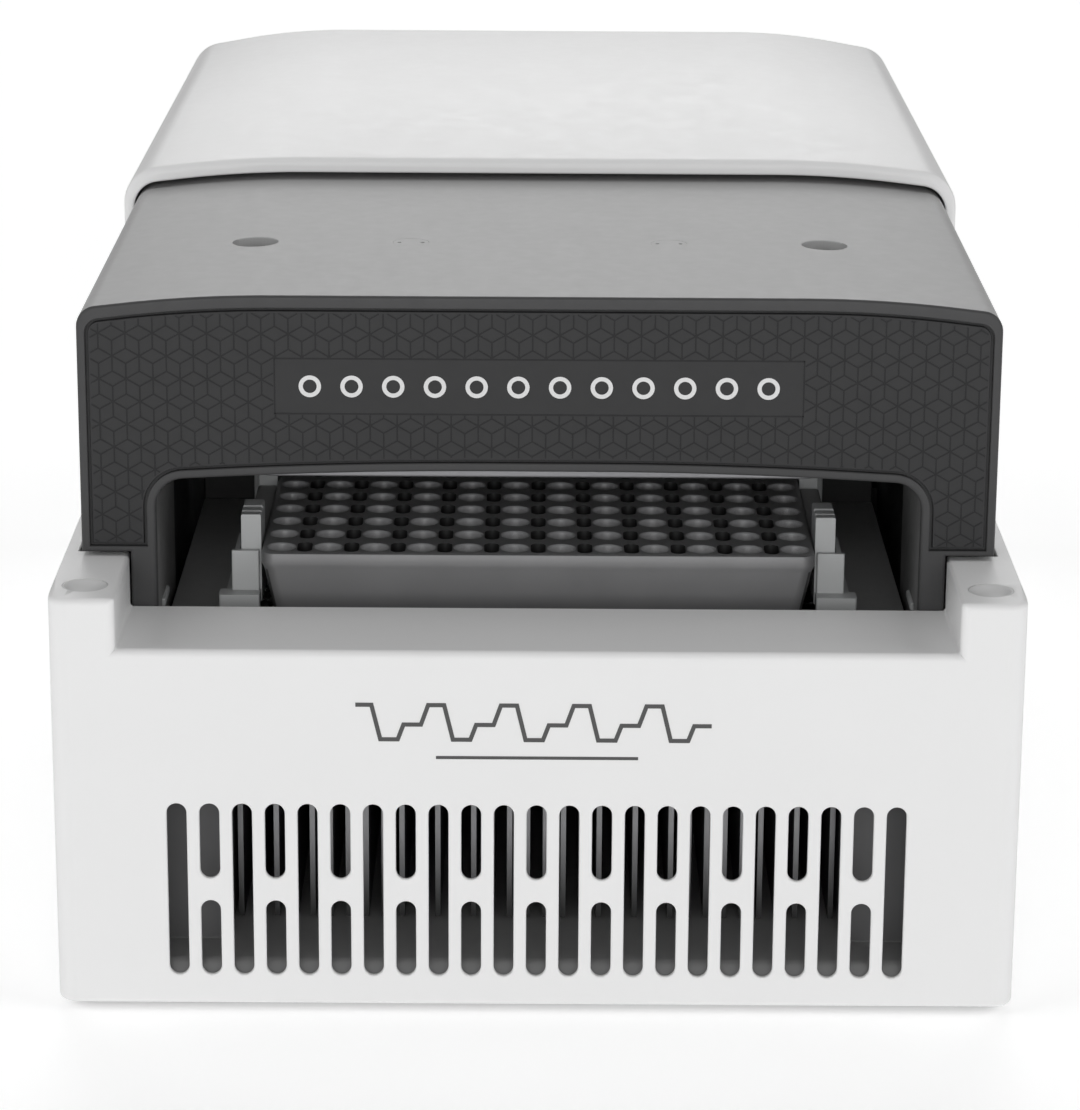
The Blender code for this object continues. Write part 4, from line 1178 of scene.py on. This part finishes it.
def rear_screws():
    face, inlet = Extent("rear_panel").back, Extent("power_inlet")
    spots = [(x, z, face, 2.4) for x in (-73.6, 73.6) for z in (5.6, 74.2)] + [(0.0, 5.6, face, 2.4)]
    spots += [(x, inlet.mid_z, inlet.back, 1.5) for x in (inlet.left + 2.7, inlet.right - 2.7)]
    spots += [(x, 39.4, face, 1.7) for x in (-46.0, -6.0)]
    heads, slots = bmesh.new(), bmesh.new()
    for x, z, level, radius in spots:
        add_screw_head(heads, x, z, level, radius)
        near, far = 0.16 * radius, 0.62 * radius
        notch, cross = ((far, near), (near, near), (near, far)), []
        for c, s in ((1, 0), (0, 1), (-1, 0), (0, -1)):
            cross += [(x + a * c - b * s, z + a * s + b * c) for a, b in notch]
        add_prism(slots, cross, 1, level + 0.22 * radius, level + 2.0 * radius)
    made = piece("rear_screw_heads", heads, STEEL, "base")
    cut(made, slots)
    even_shading(made, 30.0)


PIN_ROOT = 300.5


def inlet_pins():
    box = Extent("power_inlet")
    bm = bmesh.new()
    for across, up in ((-7.0, -2.0), (0.0, 2.0), (7.0, -2.0)):
        x, z = box.mid_x + across, box.mid_z + up
        outline = rounded_rectangle((x - 1.0, z - 2.0), (x + 1.0, z + 2.0), 0.7, 4)
        tip = rounded_rectangle((x - 0.5, z - 1.5), (x + 0.5, z + 1.5), 0.4, 4)
        rings = [placed(outline, 1, depth) for depth in (PIN_ROOT, box.back - 3.2)]
        add_loft(bm, rings + [placed(tip, 1, box.back - 2.4)])
    piece("power_inlet_pins", bm, STEEL, "base")


def port_contacts():
    box = Extent("data_ports")
    bm = box_cutter((box.mid_x + 2.2, 306.5, 20.6), (box.mid_x + 13.0, box.back - 1.0, 22.2))
    soften(piece("usb_tongue", bm, BLACK, "base"), 0.25)
    bm = bmesh.new()
    for i in range(4):
        x = box.mid_x + 4.2 + i * 2.2
        add_box(bm, (x - 0.45, 307.0, 20.48), (x + 0.45, box.back - 1.8, 20.62))
    section = ((11.0, 25.4), (2.6, 25.4), (2.4, 25.0), (7.0, 21.6), (7.2, 21.9), (3.4, 24.9), (11.0, 24.9))
    spring = [(box.back - deep, z) for deep, z in section]
    for i in range(8):
        x = box.mid_x - 8.0 + (i - 3.5) * 1.02
        add_prism(bm, spring, 0, x - 0.2, x + 0.2)
    bmesh.ops.triangulate(bm, faces=[face for face in bm.faces if len(face.verts) > 4])
    piece("port_contacts", bm, GOLD, "base", smooth=0.0)


def rocker_marks():
    """A bar on the rocker's upper face and a ring on its lower one. Ends of the faces are (depth, height)."""
    mid_x = Extent("power_rocker").mid_x
    top, fold, bottom = Vector((316.4, 31.4)), Vector((317.9, 24.0)), Vector((319.2, 16.6))
    sunk, proud = -0.1, 0.05
    bar = [(-0.35, -1.6), (0.35, -1.6), (0.35, 1.6), (-0.35, 1.6)]
    section = ((1.7, sunk), (1.7, proud), (1.1, proud), (1.1, sunk), (1.7, sunk))
    ring = [(circle((0.0, 0.0), radius, 24), lift) for radius, lift in section]
    bm = bmesh.new()
    for start, end, loops in ((fold, top, [(bar, sunk), (bar, proud)]), (bottom, fold, ring)):
        along = (end - start).normalized()
        out = Vector((along.y, -along.x))
        rings = []
        for outline, lift in loops:
            spots = [(u, (start + end) / 2 + along * v + out * lift) for u, v in outline]
            rings.append([(mid_x + u, spot.x, spot.y) for u, spot in spots])
        add_loft(bm, rings, closed=loops is not ring)
    bmesh.ops.remove_doubles(bm, verts=bm.verts, dist=0.001 * MM)
    piece("power_rocker_marks", bm, LIGHT_INK, "rocker", smooth=0.0)


def foot(corner):
    """A rubber foot with a sunk middle and a groove round its rim."""
    node = f"foot_{corner}"
    box = Extent(node)
    rim = ((0.05, 0.0), (7.0, 0.0), (7.0, -0.5), (6.8, -0.6), (6.8, -0.8), (7.0, -0.9))
    sole = ((6.9, 0.2), (6.6, 0.0), (3.6, 0.0), (3.4, 0.15), (3.2, 0.9), (0.05, 0.9))
    profile = [(radius, box.top + z) for radius, z in rim] + [(radius, box.bottom + z) for radius, z in sole]
    bm = turned(profile, (box.mid_x, box.mid_depth), segments=48)
    piece(f"{node}_rubber", bm, RUBBER, "base", node, 30.0)


# ---- carried-over nodes

CAD_FINISHES = (
    (COATED, 0.25, ("chassis_tray", "nut_bracket", "screw_bearing")),
    (COATED, 0.25, ("lid_carriage_left", "lid_carriage_right")),
    (SHEET, 0.25, ("rear_panel", "motor_plate", "lid_bridge", "platen_carrier")),
    (STEEL, 0.25, ("lid_rail_left", "lid_rail_right")),
    (STEEL, 0.2, ("press_rotor", "data_ports")),
    (STEEL, 0.0, ("lift_spring_left", "lift_spring_right")),
    (OILED, 0.2, ("guide_pin_left", "guide_pin_right")),
    (SINK, 0.0, ("heat_sink",)),
    (SINK, 0.4, ("power_supply",)),
    (BLACK, 0.3, ("rear_deck", "fan_frame_left", "fan_frame_right")),
    (BLACK, 0.3, ("power_inlet", "power_switch", "power_rocker")),
    (DUCT, 0.3, ("air_duct", "bay_deck")),
    (PALE, 0.3, ("lift_bar_left", "lift_bar_right")),
    (LACQUER, 0.4, ("lid_motor", "press_motor")),
    (CERAMIC, 0.2, ("peltier_left", "peltier_right")),
    (SILICONE, 0.2, ("platen_heater",)),
    (FOAM, 0.3, ("platen_insulation",)),
    (BOARD, 0.1, ("main_board",)),
)


def carried_over():
    for finish, width, nodes in CAD_FINISHES:
        for node in nodes:
            cad(node, finish, width)


# ---- assembly

SHELL = Extent("base_shell")
LID = Extent("lid_shell")

camera()
lights()
floor()
housing()
both(post_cap)
rear_cover()
lid_shell()
both(lid_plug)
both(flush_plug)
both(glide_strip)
lid_bezel()
lid_panel()
panel_pattern()
panel_mark()
front_mark()
sample_block()
lift_sleeve("left")
lift_sleeve("right")
both(lift_guide)
both(side_plate)
both(arch_lining)
grille_sill()
deck_step()
heated_platen()
screws()
fan_rotor("left")
fan_rotor("right")
rear_screws()
inlet_pins()
port_contacts()
rocker_marks()
for corner in ("front_left", "front_right", "rear_left", "rear_right"):
    foot(corner)
carried_over()
